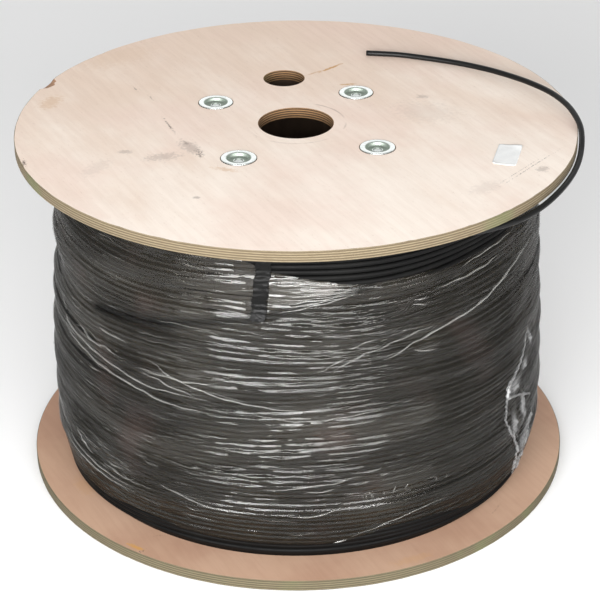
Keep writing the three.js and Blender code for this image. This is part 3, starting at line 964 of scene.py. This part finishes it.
# %% Edges and the taut fold
UPPER_EDGE = [
    # angle in degrees, height in mm
    (-260, 371), (-225, 366), (-200, 372), (-160, 368), (-130, 371), (-104, 370), (-100, 361), (-98.5, 354),
    (-95.7, 351), (-91.5, 347), (-87.3, 343), (-80.8, 337), (-75.4, 333.5), (-66, 334), (-50, 333),
    (-38, 335), (-31, 340), (-25, 366), (0, 371), (40, 360), (75, 371), (100, 371),
]
LOWER_EDGE = [
    (-260, 29), (-225, 27), (-190, 30), (-148, 30), (-140, 32), (-134, 36), (-128, 39), (-122, 37),
    (-116, 32), (-110, 30), (-84, 30), (-78, 33), (-72, 41), (-66, 43.5), (-60, 43), (-55, 41),
    (-50, 36), (-46, 31), (-40, 29), (-10, 29), (20, 34), (60, 27), (80, 31), (100, 29),
]
TAUT_FOLD = [
    (-141, 263), (-134, 268), (-127, 272), (-121, 277), (-115, 284), (-109, 291), (-103, 297),
    (-97, 302), (-91, 311), (-86, 319), (-80, 327), (-74, 333),
]
UNROLLED = 268.0


def round_front(angle):
    """Angles in degrees from -260 to 100, so that the lists above run once round the reel."""
    return (np.degrees(angle) + 260) % 360 - 260


def edge_height(edge, angle):
    """An edge's height at each angle: straight between its listed points, then averaged over 3 degrees."""
    degrees = round_front(angle)
    at, height = np.array(edge, float).T
    spread = np.linspace(-1.5, 1.5, 5)
    return MM * sum(np.interp(degrees + s, at, height) for s in spread) / len(spread)


def near_line(line, angle, height, reach):
    """1 on a line drawn on the film, falling off either side like a bell, with a half width in mm."""
    x = np.radians(round_front(angle)) * UNROLLED
    y = height / MM
    points = np.array(line, float)
    px, py = np.radians(points[:, 0]) * UNROLLED, points[:, 1]
    best = np.full(np.broadcast(x, y).shape, np.inf)
    for x0, y0, x1, y1 in zip(px[:-1], py[:-1], px[1:], py[1:]):
        dx, dy = x1 - x0, y1 - y0
        share = np.clip(((x - x0) * dx + (y - y0) * dy) / (dx * dx + dy * dy), 0, 1)
        best = np.minimum(best, np.hypot(x - x0 - share * dx, y - y0 - share * dy))
    return np.exp(-((best / reach) ** 2))


print("the film's upper edge at the front:", round(float(edge_height(UPPER_EDGE, np.radians(-90))), 4))

# %% [markdown]
# The film touches the crest of each turn and bridges the grooves, more tightly in some places than
# in others. So its surface is the line of crests less a sag in every groove, deep or shallow by
# random knots. A cloth simulation could find this too, but a formula is quicker, and the tape,
# the pleats and the tail can all ask it where the film is.

# %% Where the film lies
FILM_LIFT = 0.3 * MM
FOLD_REACH = 7.5
FOLD_LIFT = 0.4 * MM


def turn_phase(angle, height):
    """Which turn lies at a point: whole numbers are crests, and halves are grooves."""
    nominal = height
    for _ in range(3):
        nominal = height - turn_shift(angle, nominal)
    return nominal, (nominal - FIRST_HEIGHT) / PITCH - (angle - FIRST_ANGLE) / (2 * np.pi)


SAG_KNOTS_A_TURN = 6
sag_knots = np.clip(rng.normal(1.05, 0.36, int((TURNS + 4) * SAG_KNOTS_A_TURN)), 0.1, 1.7) * MM


def groove_sag(turn):
    """How deep the film sags into the groove above a turn, from knots of its own."""
    return along_knots(sag_knots, (turn + 1) * SAG_KNOTS_A_TURN)


def taut_lines(rng, count):
    """Folds pulled round the reel, each a slant, a spacing, a phase, a size and where it lies."""
    slant = rng.integers(-16, 17, count)
    spacing = rng.uniform(0.22, 0.6, count)
    phase = rng.uniform(0, 2 * np.pi, count)
    size = rng.uniform(0.2, 0.6, count) * MM
    place = [waves(rng, 4, 5, 60, 1.0) for _ in range(count)]
    return list(zip(slant, spacing, phase, size, place))


FOLD_LINES = taut_lines(rng, 9)


def fold_lift(angle, height):
    """How far the taut folds lift the film off the turns: narrow ridges, each strong only in patches."""
    lift = np.zeros(np.broadcast(angle, height).shape)
    for slant, spacing, phase, size, place in FOLD_LINES:
        ridge = 1 - np.abs(np.sin(slant * angle + spacing * height / MM + phase))
        patch = ease(wave_sum(place, angle, height), 0.2, 1.1)
        lift += size * patch * ridge**2
    return lift


def film_radius(angle, height):
    """Crest line between the two nearest turns, plus the lift, less the sag, plus the folds."""
    nominal, phase = turn_phase(angle, height)
    below = np.floor(phase)
    share = phase - below
    whole_turns = (angle - FIRST_ANGLE) / (2 * np.pi)
    rise = turn_rise(below + whole_turns) * (1 - share)
    rise += turn_rise(below + 1 + whole_turns) * share
    fold = near_line(TAUT_FOLD, angle, height, FOLD_REACH)
    loose_folds = fold_lift(angle, height)
    sag = groove_sag(below + whole_turns) * (1 - fold)
    crest = ridge_radius(angle, nominal) + np.maximum(rise, -0.5 * MM)
    groove = 1 - np.abs(np.cos(np.pi * phase))
    return crest + FILM_LIFT - sag * groove + FOLD_LIFT * fold + loose_folds * (1 - fold)


print("knots of sag:", len(sag_knots))

# %% [markdown]
# The sleeve is one grid that closes on itself round the reel. Its rows lie between the two edges,
# so they crowd and spread as the edges do, and its columns crowd towards the front, where most of
# the film's detail is.

# %% Points of the film
FILM_COLUMNS = 280
FILM_ROWS = 354
CROWDING = 0.42
EDGE_TUCK = 0.6 * MM


def film_sleeve():
    """A grid of angle and share of height between the two edges, as points, angles and heights."""
    even = np.linspace(0, 2 * np.pi, FILM_COLUMNS, endpoint=False)
    angle = (even + CROWDING * np.sin(even) + math.radians(90))[None, :] - 2 * np.pi
    share = np.linspace(0, 1, FILM_ROWS)[:, None]
    low, high = edge_height(LOWER_EDGE, angle), edge_height(UPPER_EDGE, angle)
    height = low + (high - low) * share
    angle = np.broadcast_to(angle, height.shape)
    radius = film_radius(angle, height) - ease(share, 0.985, 1) * EDGE_TUCK
    points = np.stack([radius * np.cos(angle), radius * np.sin(angle), height], -1)
    return points, angle, height


points, angle, height = film_sleeve()
print("points of the film:", angle.size)

# %% [markdown]
# Film is clearest where it is one pass thick and pressed down, and milky where passes lie loosely
# on each other. That is a number kept at each point: soft waves and a milky fan beside the tape.
# The same number also carries painted light: a clear, darker line along the taut fold as painted
# shade, more milk across the front as a painted highlight where the streaks are brightest, and
# less milk at the right as painted shade.

# %% Haze in the film
FOLDED_FAN = [(-97, 349), (-90, 344), (-82, 337), (-76, 333), (-84, 324), (-90, 315), (-97, 305)]


def inside_outline(outline, angle, height, soft):
    """1 inside a closed outline on the film and 0 outside, with a soft border."""
    degrees = round_front(angle)
    points = np.array(outline, float)
    inside = np.zeros(degrees.shape, bool)
    previous = points[-1]
    for point in points:
        (x0, y0), (x1, y1) = previous, point
        crosses = (y0 > height / MM) != (y1 > height / MM)
        at = x0 + (height / MM - y0) * (x1 - x0) / (y1 - y0 if y1 != y0 else 1)
        inside ^= crosses & (degrees < at)
        previous = point
    edge = near_line([*outline, outline[0]], angle, height, soft)
    return np.where(inside, 1 - 0.5 * edge, 0.5 * edge)


haze_waves = waves(rng, 14, 12, 120, 0.16)
haze = 0.12 + wave_sum(haze_waves, angle, height)
haze += 0.75 * inside_outline(FOLDED_FAN, angle, height, 3.0)
# Painted shade: the haze is taken out along the taut fold, so the film there shows darker.
taut = near_line(TAUT_FOLD, angle, height, 6.0)
haze = haze * (1 - taut)
degrees = round_front(angle)
# Painted light: less milk at the right paints it darker as shade, and more across the front, from 60 to 200
# mm up, paints a brighter highlight there.
painted_shade_right = ease(degrees, -60, -55) * (1 - ease(degrees, -38, -30))
front = ease(degrees, -121, -112) * (1 - ease(degrees, -84, -57))
haze += 0.22 * front * ease(height, 60 * MM, 200 * MM) - 0.4 * painted_shade_right
print("haze from", round(float(haze.min()), 2), "to", round(float(haze.max()), 2))

# %% [markdown]
# The clear plastic lets most light through and has a hard gloss, so its look is mainly that of
# bright streaks along the turns. It has fine lengthwise wrinkles, which noise stretched along the
# turns gives. The haze makes it less clear and lets its own faint colour show, with soft pink
# patches in that colour that are a painted reflection of the plywood.

# %% Clear film
def film_finish(name, clearness, milk, grey, rough):
    """Clear glossy film with fine lengthwise wrinkles and pink patches of painted reflection, less clear
    where its haze says so.
    """
    recipe = Recipe(name, IOR=2.0)
    fine = recipe.noise(recipe.place(scale=(1, 1, 14)), 30.0, 2.0, 0.5)
    haze_share = recipe.node("ShaderNodeAttribute", attribute_name="haze").outputs["Fac"]
    alpha = recipe.math("ADD", clearness, recipe.math("MULTIPLY", haze_share, milk), clamp=True)
    # Painted reflection: soft pink patches stand for the plywood mirrored in the film.
    painted_pink_reflection = recipe.span(recipe.noise(recipe.place(), 9.0, 2.0), 0.6, 0.75, 0.0, 0.35)
    recipe.set(recipe.shader, "Alpha", alpha)
    coarse = recipe.bump(recipe.noise(recipe.place(scale=(1, 1, 6)), 14.0, 2.0, 0.5), 0.0008)
    lift = recipe.bump(fine, 0.0002, 1.0, coarse)
    rough = recipe.span(fine, 0.35, 0.65, rough, rough + 0.1)
    return recipe.finish(recipe.mix(painted_pink_reflection, grey, colour(110, 84, 78)), rough, lift)


film_material = film_finish("clear_film", 0.17, 0.36, colour(46, 40, 27), 0.05)
faces = grid_quads(FILM_ROWS, FILM_COLUMNS, close_columns=True)
film = add_mesh("film_sleeve", points, [faces], [film_material])
# Painted shade: the taut fold is pushed below clear, which darkens it further.
store(film, "haze", np.clip(haze, 0, 1) - 0.4 * taut)
settle(film, "clear_film", "stretch_film")

# %% [markdown]
# Stretch film gathers into narrow pleats where one pass crosses another. They catch the light as
# thin pale lines, some along the turns and some slanting across them. The plain ones are listed
# here as lines on the unrolled film.

# %% Places of the pleats
PLEATS = [
    # height and width in mm, then angle and height of each point
    (1.1, 2.2, [(-151, 222.5), (-148.5, 225), (-146, 223), (-143, 221), (-140, 221), (-138.5, 224),
        (-134.5, 220)]),
    (1.0, 2.6, [(-161.5, 243), (-160.5, 236), (-159, 227), (-156, 218), (-153, 215.5), (-148, 213.5),
        (-143, 211), (-139.5, 209.5), (-134, 206), (-129.5, 202.5), (-124, 199), (-120, 201),
        (-110, 201)]),
    (1.2, 2.6, [(-161, 205), (-158, 207), (-154, 205.5), (-150, 203.5), (-146.5, 202.5), (-144, 199.5),
        (-138, 197.5), (-132, 195), (-126, 192), (-122, 189), (-118, 187.5), (-108, 187)]),
    (1.3, 2.2, [(-126, 231), (-123, 228), (-120, 222.5), (-117, 218.5), (-113, 214.5), (-109, 210),
        (-105, 206), (-101.5, 204.5), (-98, 202), (-92, 199), (-86, 197)]),
    (0.7, 2.0, [(-126.5, 214), (-122, 212.5), (-120, 209.5), (-116, 206), (-113, 203)]),
    (0.7, 2.0, [(-141, 241), (-138.5, 241.5), (-135, 241), (-131, 240.5)]),
    (0.7, 2.0, [(-128, 218), (-120, 219), (-114, 219), (-110, 221), (-107, 225)]),
    (0.6, 2.0, [(-144, 188), (-140, 190.5)]),
    (1.0, 1.6, [(-79.5, 263), (-77.5, 265), (-75, 268.5), (-72, 271)]),
    (1.2, 1.6, [(-86, 242), (-84.5, 243), (-83.5, 246), (-82, 250), (-80, 254), (-78.5, 258)]),
    (1.3, 1.8, [(-82.5, 241), (-80.8, 246), (-79, 250), (-76.5, 255.5), (-75.5, 257), (-72.5, 258)]),
    (0.8, 1.6, [(-74.8, 256), (-70, 262), (-66, 266), (-62, 269.5), (-58.5, 271)]),
    (0.8, 3.2, [(-71, 245.5), (-68.5, 250), (-65, 256.5), (-62, 260), (-58, 263.5), (-54, 267.5),
        (-50, 270), (-46, 274), (-42, 280), (-38, 288), (-34, 293), (-30, 297), (-26, 300),
        (-21, 303.5)]),
    (0.8, 1.6, [(-64, 306), (-62, 305), (-60, 305)]),
    (1.2, 2.4, [(-64, 301), (-62, 299), (-60.5, 296.5)]),
    (0.9, 1.6, [(-63, 248), (-60, 246), (-58, 243)]),
    (0.9, 1.6, [(-64, 251), (-62, 248), (-59.5, 244)]),
    (0.9, 1.8, [(-104, 200), (-102, 195), (-100, 193), (-96, 190), (-90, 187), (-84, 188), (-76, 191),
        (-68, 193)]),
    (0.9, 1.8, [(-97.5, 104), (-93, 106), (-90, 108), (-88, 110.5), (-84, 111), (-80, 115),
        (-76, 117.5)]),
    (1.0, 1.6, [(-89, 100), (-88, 102), (-85, 103), (-82, 105)]),
    (1.2, 2.0, [(-92, 71.5), (-87, 72), (-84.5, 73.5), (-83, 77), (-80.5, 81)]),
    (1.1, 1.8, [(-122, 88), (-121.5, 85.5), (-120, 83.5), (-117, 82), (-114, 78), (-111, 75.5),
        (-104, 73)]),
    (1.0, 2.0, [(-151, 94), (-149.5, 89), (-148, 84), (-146, 79), (-145, 77)]),
    (0.8, 1.6, [(-139, 84), (-136, 83.5), (-133, 84)]),
    (0.8, 1.6, [(-140, 78), (-136, 77.5), (-130.5, 76.5), (-129.5, 80)]),
    (0.4, 1.2, [(-78, 38), (-75, 42), (-72, 46), (-69, 50), (-65, 55), (-60, 60), (-54, 62)]),
    (0.9, 2.4, [(-82, 31), (-79, 34)]),
    (0.7, 1.8, [(-158, 75), (-152, 72), (-144, 70), (-136, 69), (-130, 68)]),
    (0.8, 2.4, [(-159, 68), (-153, 64), (-146, 63.5), (-138, 62.5), (-132, 62)]),
    (0.6, 1.6, [(-51, 328), (-46, 331), (-40, 333), (-33, 334.5)]),
    (0.6, 1.8, [(-58, 313), (-52, 314), (-45, 316), (-38, 318)]),
]
HOOKS = [
    (-76, 91), (-74.8, 90), (-74, 91), (-73.5, 88), (-71, 91),
    (-68.5, 92), (-65.6, 91), (-58, 91), (-55, 90),
]
FAN_ANGLES = (-95.6, -76.5)
FAN_STARTS, FAN_ENDS = (303, 349), (324, 334)
FAN_PLEATS = 15
SCATTERED_PLEATS = 900
print("pleats listed:", len(PLEATS))

# %% [markdown]
# The rest are made by rule: small hooks in a row near the foot, a fan of pleats that closes up
# away from the tape, and a seeded scatter of short ones over the whole sleeve. The scattered ones
# are smaller at the right, where the film is drawn tight.

# %% Lines of the pleats
def part_way(pair, share):
    """The number a share of the way from the first of two to the second."""
    return pair[0] + share * (pair[1] - pair[0])


def hook_lines(rng):
    """Short pleats bent like hooks, each a height, a width and three points."""
    lines = []
    for at, level in HOOKS:
        bend = rng.uniform(-1, 1)
        top = (at + 0.5 * bend, level + rng.uniform(2, 5))
        lines.append((1.0, 1.2, [(at, level - 4), (at - 0.3 * bend, level), top]))
    return lines


def fan_lines(rng):
    """Pleats that run from the tape to the folded corner, closer together at the corner."""
    lines = []
    for share in np.linspace(0.04, 0.96, FAN_PLEATS):
        levels = (part_way(FAN_STARTS, share), part_way(FAN_ENDS, share))
        cuts = (rng.uniform(0, 0.2), rng.uniform(0.6, 1.0))
        ends = [(part_way(FAN_ANGLES, s), part_way(levels, s)) for s in cuts]
        middle = ((ends[0][0] + ends[1][0]) / 2, (ends[0][1] + ends[1][1]) / 2 + rng.uniform(-1.5, 1.5))
        lines.append((rng.uniform(0.5, 1.0), rng.uniform(1.4, 2.4), [ends[0], middle, ends[1]]))
    return lines


def scattered_lines(rng):
    """Short pleats anywhere between the film's edges, each nearly level."""
    lines = []
    for _ in range(SCATTERED_PLEATS):
        at, share = rng.uniform(-260, 100), rng.uniform(0.03, 0.97)
        edges = [edge_height(edge, math.radians(at)) / MM for edge in (LOWER_EDGE, UPPER_EDGE)]
        level = part_way(edges, share)
        calm = 0.35 if -58 < at < -30 else 1.0
        half = rng.uniform(0.5, 1.0) * rng.uniform(0.8, 2.6) ** 2
        slope = rng.normal(0, 0.35)
        bow = rng.normal(0, 0.8)
        line = [(at - half, level - slope * half), (at, level + bow), (at + half, level + slope * half)]
        lines.append((calm * rng.uniform(0.25, 0.8), calm * rng.uniform(0.8, 1.5), line))
    return lines


pleat_lines = PLEATS + hook_lines(rng) + fan_lines(rng) + scattered_lines(rng)
print("pleats in all:", len(pleat_lines))

# %% [markdown]
# Each pleat is a small ridge of five points across, carried along its line on the film and thinned
# to nothing at both ends. Its skirts are sunk into the film and are clear, so that it has no hard
# border.

# %% Pleats
PLEAT_STEPS = 22
ACROSS = np.array([-1, -0.4, 0, 0.4, 1])
BELL = np.array([-0.25, 0.7, 1, 0.7, -0.25])
SKIRT_HAZE = np.array([-1.4, 0.0, 0.6, 0.0, -1.4])
FAINTER = 0.75


def pleat_ridges(lines, rng):
    """Carries a ridge of five points along each line, with its size falling to nothing at the ends."""
    grids = []
    share = np.linspace(0, 1, PLEAT_STEPS)
    taper = np.sin(np.pi * np.clip(share, 0.02, 0.98)) ** 0.6
    for tall, wide, line in lines:
        knots = np.array(line, float)
        knots[:, 0] = np.radians(knots[:, 0]) * UNROLLED
        flat = smooth_line(np.column_stack([knots, np.zeros(len(knots))]), 8)[:, :2]
        gone = np.concatenate([[0], np.cumsum(np.linalg.norm(np.diff(flat, axis=0), axis=1))])
        spine = np.column_stack([np.interp(share * gone[-1], gone, flat[:, k]) for k in (0, 1)])
        spine[:, 1] += 0.5 * np.sin(share * gone[-1] * 0.21 + rng.uniform(0, 6)) * (gone[-1] > 25)
        ahead = np.gradient(spine, axis=0)
        ahead /= np.linalg.norm(ahead, axis=1, keepdims=True)
        side = np.column_stack([-ahead[:, 1], ahead[:, 0]])
        swell = taper * (1 + 0.25 * np.sin(share * gone[-1] * 0.37 + rng.uniform(0, 6)))
        place = spine[:, None] + (wide / 2) * (swell[:, None] * ACROSS)[..., None] * side[:, None]
        angle, height = place[..., 0] / UNROLLED, place[..., 1] * MM
        base = film_radius(angle, height)
        crown = base.max(axis=1, keepdims=True) * 0.6 + base * 0.4
        radius = crown + tall * MM * (swell[:, None] * BELL) + 0.1 * MM
        radius[:, [0, -1]] = base[:, [0, -1]] - 0.1 * MM
        grids.append(np.stack([radius * np.cos(angle), radius * np.sin(angle), height], -1))
    return np.array(grids)


ridges = pleat_ridges(pleat_lines, rng)
one_ridge = grid_quads(PLEAT_STEPS, len(ACROSS))[:, ::-1]
starts = np.arange(len(ridges)) * PLEAT_STEPS * len(ACROSS)
faces = (one_ridge[None] + starts[:, None, None]).reshape(-1, 4)
pleat_material = film_finish("film_pleats", 0.45, 0.3, colour(150, 150, 146), 0.14)
pleats = add_mesh("film_pleats", ridges, [faces], [pleat_material])
scattered = np.arange(len(ridges)) >= len(ridges) - SCATTERED_PLEATS
faint = np.where(scattered, FAINTER, 0)[:, None, None]
store(pleats, "haze", np.broadcast_to(SKIRT_HAZE, ridges.shape[:-1]) - faint)
settle(pleats, "clear_film")

# %% [markdown]
# The film's own loose end is bunched and stuck down in a crumpled tail at the right. It is a
# narrow sheet of its own, folded many times, so it is the whitest part of the wrap. Its edges, its
# crumpled patches and its two twisted ropes are listed first.

# %% Places on the tail
TAIL_LEFT = [
    # height in mm, angle in degrees
    (24, -27.5), (40, -28.5), (62, -29.5), (72, -30), (82, -31), (90, -32.8), (100, -34.6), (112, -35.7),
    (128, -35.9), (146, -36.2), (153, -35.4), (160, -34.2), (165, -32), (178, -29), (190, -26),
    (206, -21.5),
]
TAIL_RIGHT = [
    (24, -25.5), (40, -24.5), (62, -17.5), (74, -19), (90, -20.5), (120, -21), (150, -19.5),
    (175, -18.5), (206, -18.5),
]
TAIL_LOW, TAIL_TALL = 24, 182
TAIL_CRUMPLES = [
    # angle in degrees, height in mm, half width and half height of a crumpled patch
    (-32, 153, 3.2, 9), (-27, 168, 1.8, 9), (-23, 190, 1.0, 10), (-25, 70, 4.0, 12), (-22, 88, 2.5, 8),
    (-26, 42, 2.5, 14), (-32, 104, 1.4, 18), (-27, 116, 1.6, 14),
]
TAIL_ROPES = [
    # size and half width in mm, then angle and height of each point
    (2.4, 1.4, [(-36.4, 147), (-34, 143), (-31, 138.5), (-26, 127), (-21, 115), (-17, 104)]),
    (1.4, 0.9, [(-28, 131), (-27.5, 119), (-28, 112), (-26.5, 104), (-29.5, 92), (-29, 80)]),
]
print("crumpled patches:", len(TAIL_CRUMPLES))

# %% [markdown]
# Crumpled film folds sharply. One less the absolute sine of a wave has a sharp crest, and the sum
# of several such waves in random directions looks like creased film. They rise only in the
# patches, and fade to nothing at the borders, where the tail is stuck down.

# %% Crumpled tail
TAIL_COLUMNS = 60
TAIL_ROWS = 200
MOST_LIFT = 6.5
CALM_SHARE = 0.12


def creased(u, v, rng, count, most, size):
    """Sharp folds: the sum of 1 less the absolute sine of waves in random directions."""
    total = np.zeros(np.broadcast(u, v).shape)
    for _ in range(count):
        turn, rate, phase = rng.uniform(0, np.pi), rng.uniform(0.3, 1) * most, rng.uniform(0, 6.3)
        warp = 0.8 * np.sin(u * 0.09 + v * 0.07 + phase)
        along = u * math.cos(turn) + v * math.sin(turn)
        total += size * (1 - np.abs(np.sin(rate * along + phase + warp)))
    return total / count


def film_tail(rng):
    """A grid between the tail's edges, lifted off the film by creases, a hem and ropes, and its haze."""
    v = np.linspace(0, 1, TAIL_ROWS)[:, None]
    u = np.linspace(0, 1, TAIL_COLUMNS)[None, :]
    level = TAIL_LOW + TAIL_TALL * v
    left = np.interp(level, *np.array(TAIL_LEFT).T)
    right = np.interp(level, *np.array(TAIL_RIGHT).T)
    jag = 0.2 * np.sin(level * 0.31) + 0.12 * np.sin(level * 0.83 + 1)
    degrees = left + jag + (right - left) * u
    angle, height = np.radians(degrees), np.broadcast_to(level * MM, degrees.shape)
    x = np.radians(degrees) * UNROLLED
    crumpled = CALM_SHARE
    for at, rise, wide, tall in TAIL_CRUMPLES:
        across, up = (degrees - at) / wide, (level - rise) / tall
        crumpled = crumpled + np.exp(-(across**2) - up**2)
    crumpled = np.clip(crumpled, 0, 1)
    folds = creased(x, level, rng, 9, 0.42, 5.0) + creased(x, level, rng, 7, 1.1, 2.6)
    folds = folds * crumpled
    hem = np.exp(-(((u - 0.04) / 0.025) ** 2)) * 1.6 + np.exp(-(((u - 0.96) / 0.04) ** 2)) * 0.6
    rope = sum(size * near_line(line, angle, height, reach) for size, reach, line in TAIL_ROPES)
    border = ease(u, 0, 0.05) * ease(1 - u, 0, 0.08) * ease(v, 0, 0.03) * ease(1 - v, 0, 0.1)
    lift = (0.5 + folds + hem + rope) * border
    base = film_radius(angle, np.maximum(height, 0.030))
    radius = base + np.minimum(lift, MOST_LIFT) * MM - 0.15 * MM * (1 - border)
    points = np.stack([radius * np.cos(angle), radius * np.sin(angle), height], -1)
    shade = -1.1 + 1.1 * crumpled + 0.3 * folds + 1.0 * hem + 0.9 * rope
    return points, np.where(border > 0.02, np.clip(shade, -1, 1), -1.2)


points, shade = film_tail(rng)
tail_material = film_finish("film_tail", 0.1, 0.4, colour(150, 150, 150), 0.12)
tail = add_mesh("film_tail", points, [grid_quads(TAIL_ROWS, TAIL_COLUMNS)], [tail_material])
store(tail, "haze", shade)
settle(tail, "clear_film")

# %% [markdown]
# A short strip of black tape holds the film's upper edge. It has taken the shape of the turns
# under it, in bands, has a few sharp creases, and lies flat at its lower end. It is an open grid
# on the film, and a Solidify modifier gives it its thickness.

# %% Black tape
TAPE_ROWS = 150
TAPE_COLUMNS = 26
TAPE_HIGH, TAPE_LENGTH, TAPE_HALF = 379, 81.5, 1.68
TAPE_LINE = ([297.5, 352.7, 379], [-98.6, -97.3, -96.6])
TAPE_THICK = 0.15 * MM
SMOOTHING = 9


def tape_finish():
    """Black vinyl: soft gloss, with dull and shiny bands where it is pressed down."""
    recipe = Recipe("black_tape", IOR=1.5, Specular_IOR_Level=0.14)
    place = recipe.place()
    patch = recipe.noise(recipe.place(scale=(1, 1, 2)), 60.0, 3.0)
    paint = recipe.mix(patch, colour(5, 5, 5), colour(12, 12, 11))
    rough = recipe.span(patch, 0.35, 0.65, 0.2, 0.42)
    return recipe.finish(paint, rough, recipe.bump(recipe.noise(place, 380.0, 3.0), 0.0005))


def tape_strip(rng):
    """A grid down the strip: the smoothed film, plus bands of lift, creases and turned-up sides."""
    v = np.linspace(0, 1, TAPE_ROWS)[:, None]
    u = np.linspace(-1, 1, TAPE_COLUMNS)[None, :]
    level = TAPE_HIGH - TAPE_LENGTH * v
    middle = np.interp(level, *TAPE_LINE)
    wave = 0.14 * np.sin(level * 0.31) + 0.08 * np.sin(level * 0.83 + 2)
    degrees = middle + wave + u * TAPE_HALF
    x = np.radians(degrees) * UNROLLED
    bands = 0.9 * np.abs(np.sin(level * math.pi / 21.0 + 0.6)) ** 1.5
    folds = creased(x, level, rng, 7, 0.5, 1.6)
    angle, height = np.radians(degrees), np.broadcast_to(level * MM, degrees.shape)
    base = film_radius(angle, np.minimum(height, edge_height(UPPER_EDGE, angle)))
    base = np.maximum(base, base.mean(axis=1, keepdims=True))
    window = np.hanning(SMOOTHING) / np.hanning(SMOOTHING).sum()
    padded = np.pad(base, ((SMOOTHING // 2, SMOOTHING // 2), (0, 0)), mode="edge")
    base = sum(w * padded[k : k + TAPE_ROWS] for k, w in enumerate(window))
    settled = 1 - ease(v, 0.78, 0.86)
    lift = 0.55 + (bands + 0.8 * folds) * settled + 0.5 * np.abs(u) ** 6 + 0.5 * (1 - settled)
    radius = base + lift * MM
    return np.stack([radius * np.cos(angle), radius * np.sin(angle), height], -1)


tape_points = tape_strip(rng)
tape = add_mesh("tape", tape_points, [grid_quads(TAPE_ROWS, TAPE_COLUMNS)], [tape_finish()])
wall = tape.modifiers.new("thickness", "SOLIDIFY")
wall.thickness = TAPE_THICK
wall.offset = 0
settle(tape, "black_tape", "tape_strip")

# %% [markdown]
# The white label is stuck to the upper disc, and two of its corners have lifted a little. It is
# left blank.

# %% Label
LABEL_MIDDLE = (218.7 * MM, -85.7 * MM)
LABEL_TURN = math.radians(76.5)
LABEL_SIZE = (50 * MM, 25 * MM)
LABEL_THICK = 0.14 * MM
LABEL_GAP = 0.12 * MM
LABEL_ROWS, LABEL_COLUMNS = 18, 34


def paper_finish():
    """White paper, faintly grey and fibrous."""
    recipe = Recipe("label_paper", Roughness=0.7)
    place = recipe.place()
    fibre = recipe.noise(place, 300.0, 4.0)
    paint = recipe.mix(fibre, colour(244, 244, 242), colour(226, 228, 228))
    return recipe.finish(paint, lift=recipe.bump(fibre, 0.0001))


def label_sheet():
    """A rectangle with rounded corners: a grid squeezed at its corners, raised where they have lifted."""
    u = np.linspace(-1, 1, LABEL_COLUMNS)[None, :]
    v = np.linspace(-1, 1, LABEL_ROWS)[:, None]
    x = u * LABEL_SIZE[0] / 2 * (1 - 0.03 * np.abs(v) ** 10)
    y = v * LABEL_SIZE[1] / 2 * (1 - 0.06 * np.abs(u) ** 16)
    curl = 1.1 * ease(u - 0.4 * v, 0.75, 1.4) + 0.7 * ease(-u + 0.3 * v, 0.9, 1.3)
    curl = curl + 0.12 * np.sin(3 * u + 2 * v) ** 2
    c, s = math.cos(LABEL_TURN), math.sin(LABEL_TURN)
    z = REEL_HEIGHT + LABEL_THICK + LABEL_GAP + curl * MM
    across, back = LABEL_MIDDLE[0] + x * c - y * s, LABEL_MIDDLE[1] + x * s + y * c
    return np.stack([across, back, z], -1)


label_quads = grid_quads(LABEL_ROWS, LABEL_COLUMNS)
label = add_mesh("blank_label", label_sheet(), [label_quads], [paper_finish()])
wall = label.modifiers.new("thickness", "SOLIDIFY")
wall.thickness = LABEL_THICK
settle(label, "label_paper", "label")

# %% [markdown]
# The reel stands on a plain pale floor, which is only there to carry it and isn't a part of it.
# Broad soft lights in front give the film its long streaks, and a wall of light behind keeps the
# far side and the floor bright. Small hard lights would leave sharp spots on the film.

# %% Floor and light
FLOOR_HALF = 12.0
LIGHTS = [
    # name, place, aim, width, height, power
    ("key", (0.0, -3.15, 1.25), (0, 0, 0.2), 4.9, 1.6, 168),
    ("key_core", (-0.8, -3.1, 1.1), (0, 0, 0.2), 2.2, 1.3, 60),
    ("wide_panel", (0.75, -2.6, 0.95), (0.75, 0, 0.25), 8.4, 1.0, 80),
    ("back_wall", (0, 4.5, 2.2), (0, 0, 0.9), 9.0, 3.4, 92),
]
ROOM_BRIGHTNESS = 0.36


def pale_floor():
    """A large pale floor under the reel."""
    recipe = Recipe("floor", Base_Color=(0.95, 0.95, 0.95, 1), Roughness=0.9)
    corners = np.array([[-1, -1, 0], [1, -1, 0], [1, 1, 0], [-1, 1, 0]])
    points = FLOOR_HALF * corners
    floor = add_mesh("floor", points, [np.array([[0, 1, 2, 3]])], [recipe.material], smooth=False)


def softbox(name, place, aim, width, height, power):
    """A rectangular light at a place, facing an aim."""
    light = bpy.data.lights.new(name, "AREA")
    light.shape = "RECTANGLE"
    light.size = width
    light.size_y = height
    light.energy = power
    lamp = bpy.data.objects.new(name, light)
    facing = (Vector(aim) - Vector(place)).to_track_quat("-Z", "Y")
    lamp.matrix_world = Matrix.Translation(place) @ facing.to_matrix().to_4x4()
    lamp.visible_camera = False
    bpy.context.scene.collection.objects.link(lamp)


pale_floor()
for light in LIGHTS:
    softbox(*light)
world = bpy.data.worlds.new("studio")
world.use_nodes = True
background = world.node_tree.nodes["Background"]
background.inputs["Color"].default_value = (1, 1, 1, 1)
background.inputs["Strength"].default_value = ROOM_BRIGHTNESS
bpy.context.scene.world = world
bpy.context.scene.view_settings.view_transform = "Standard"
print("lights:", len(LIGHTS))
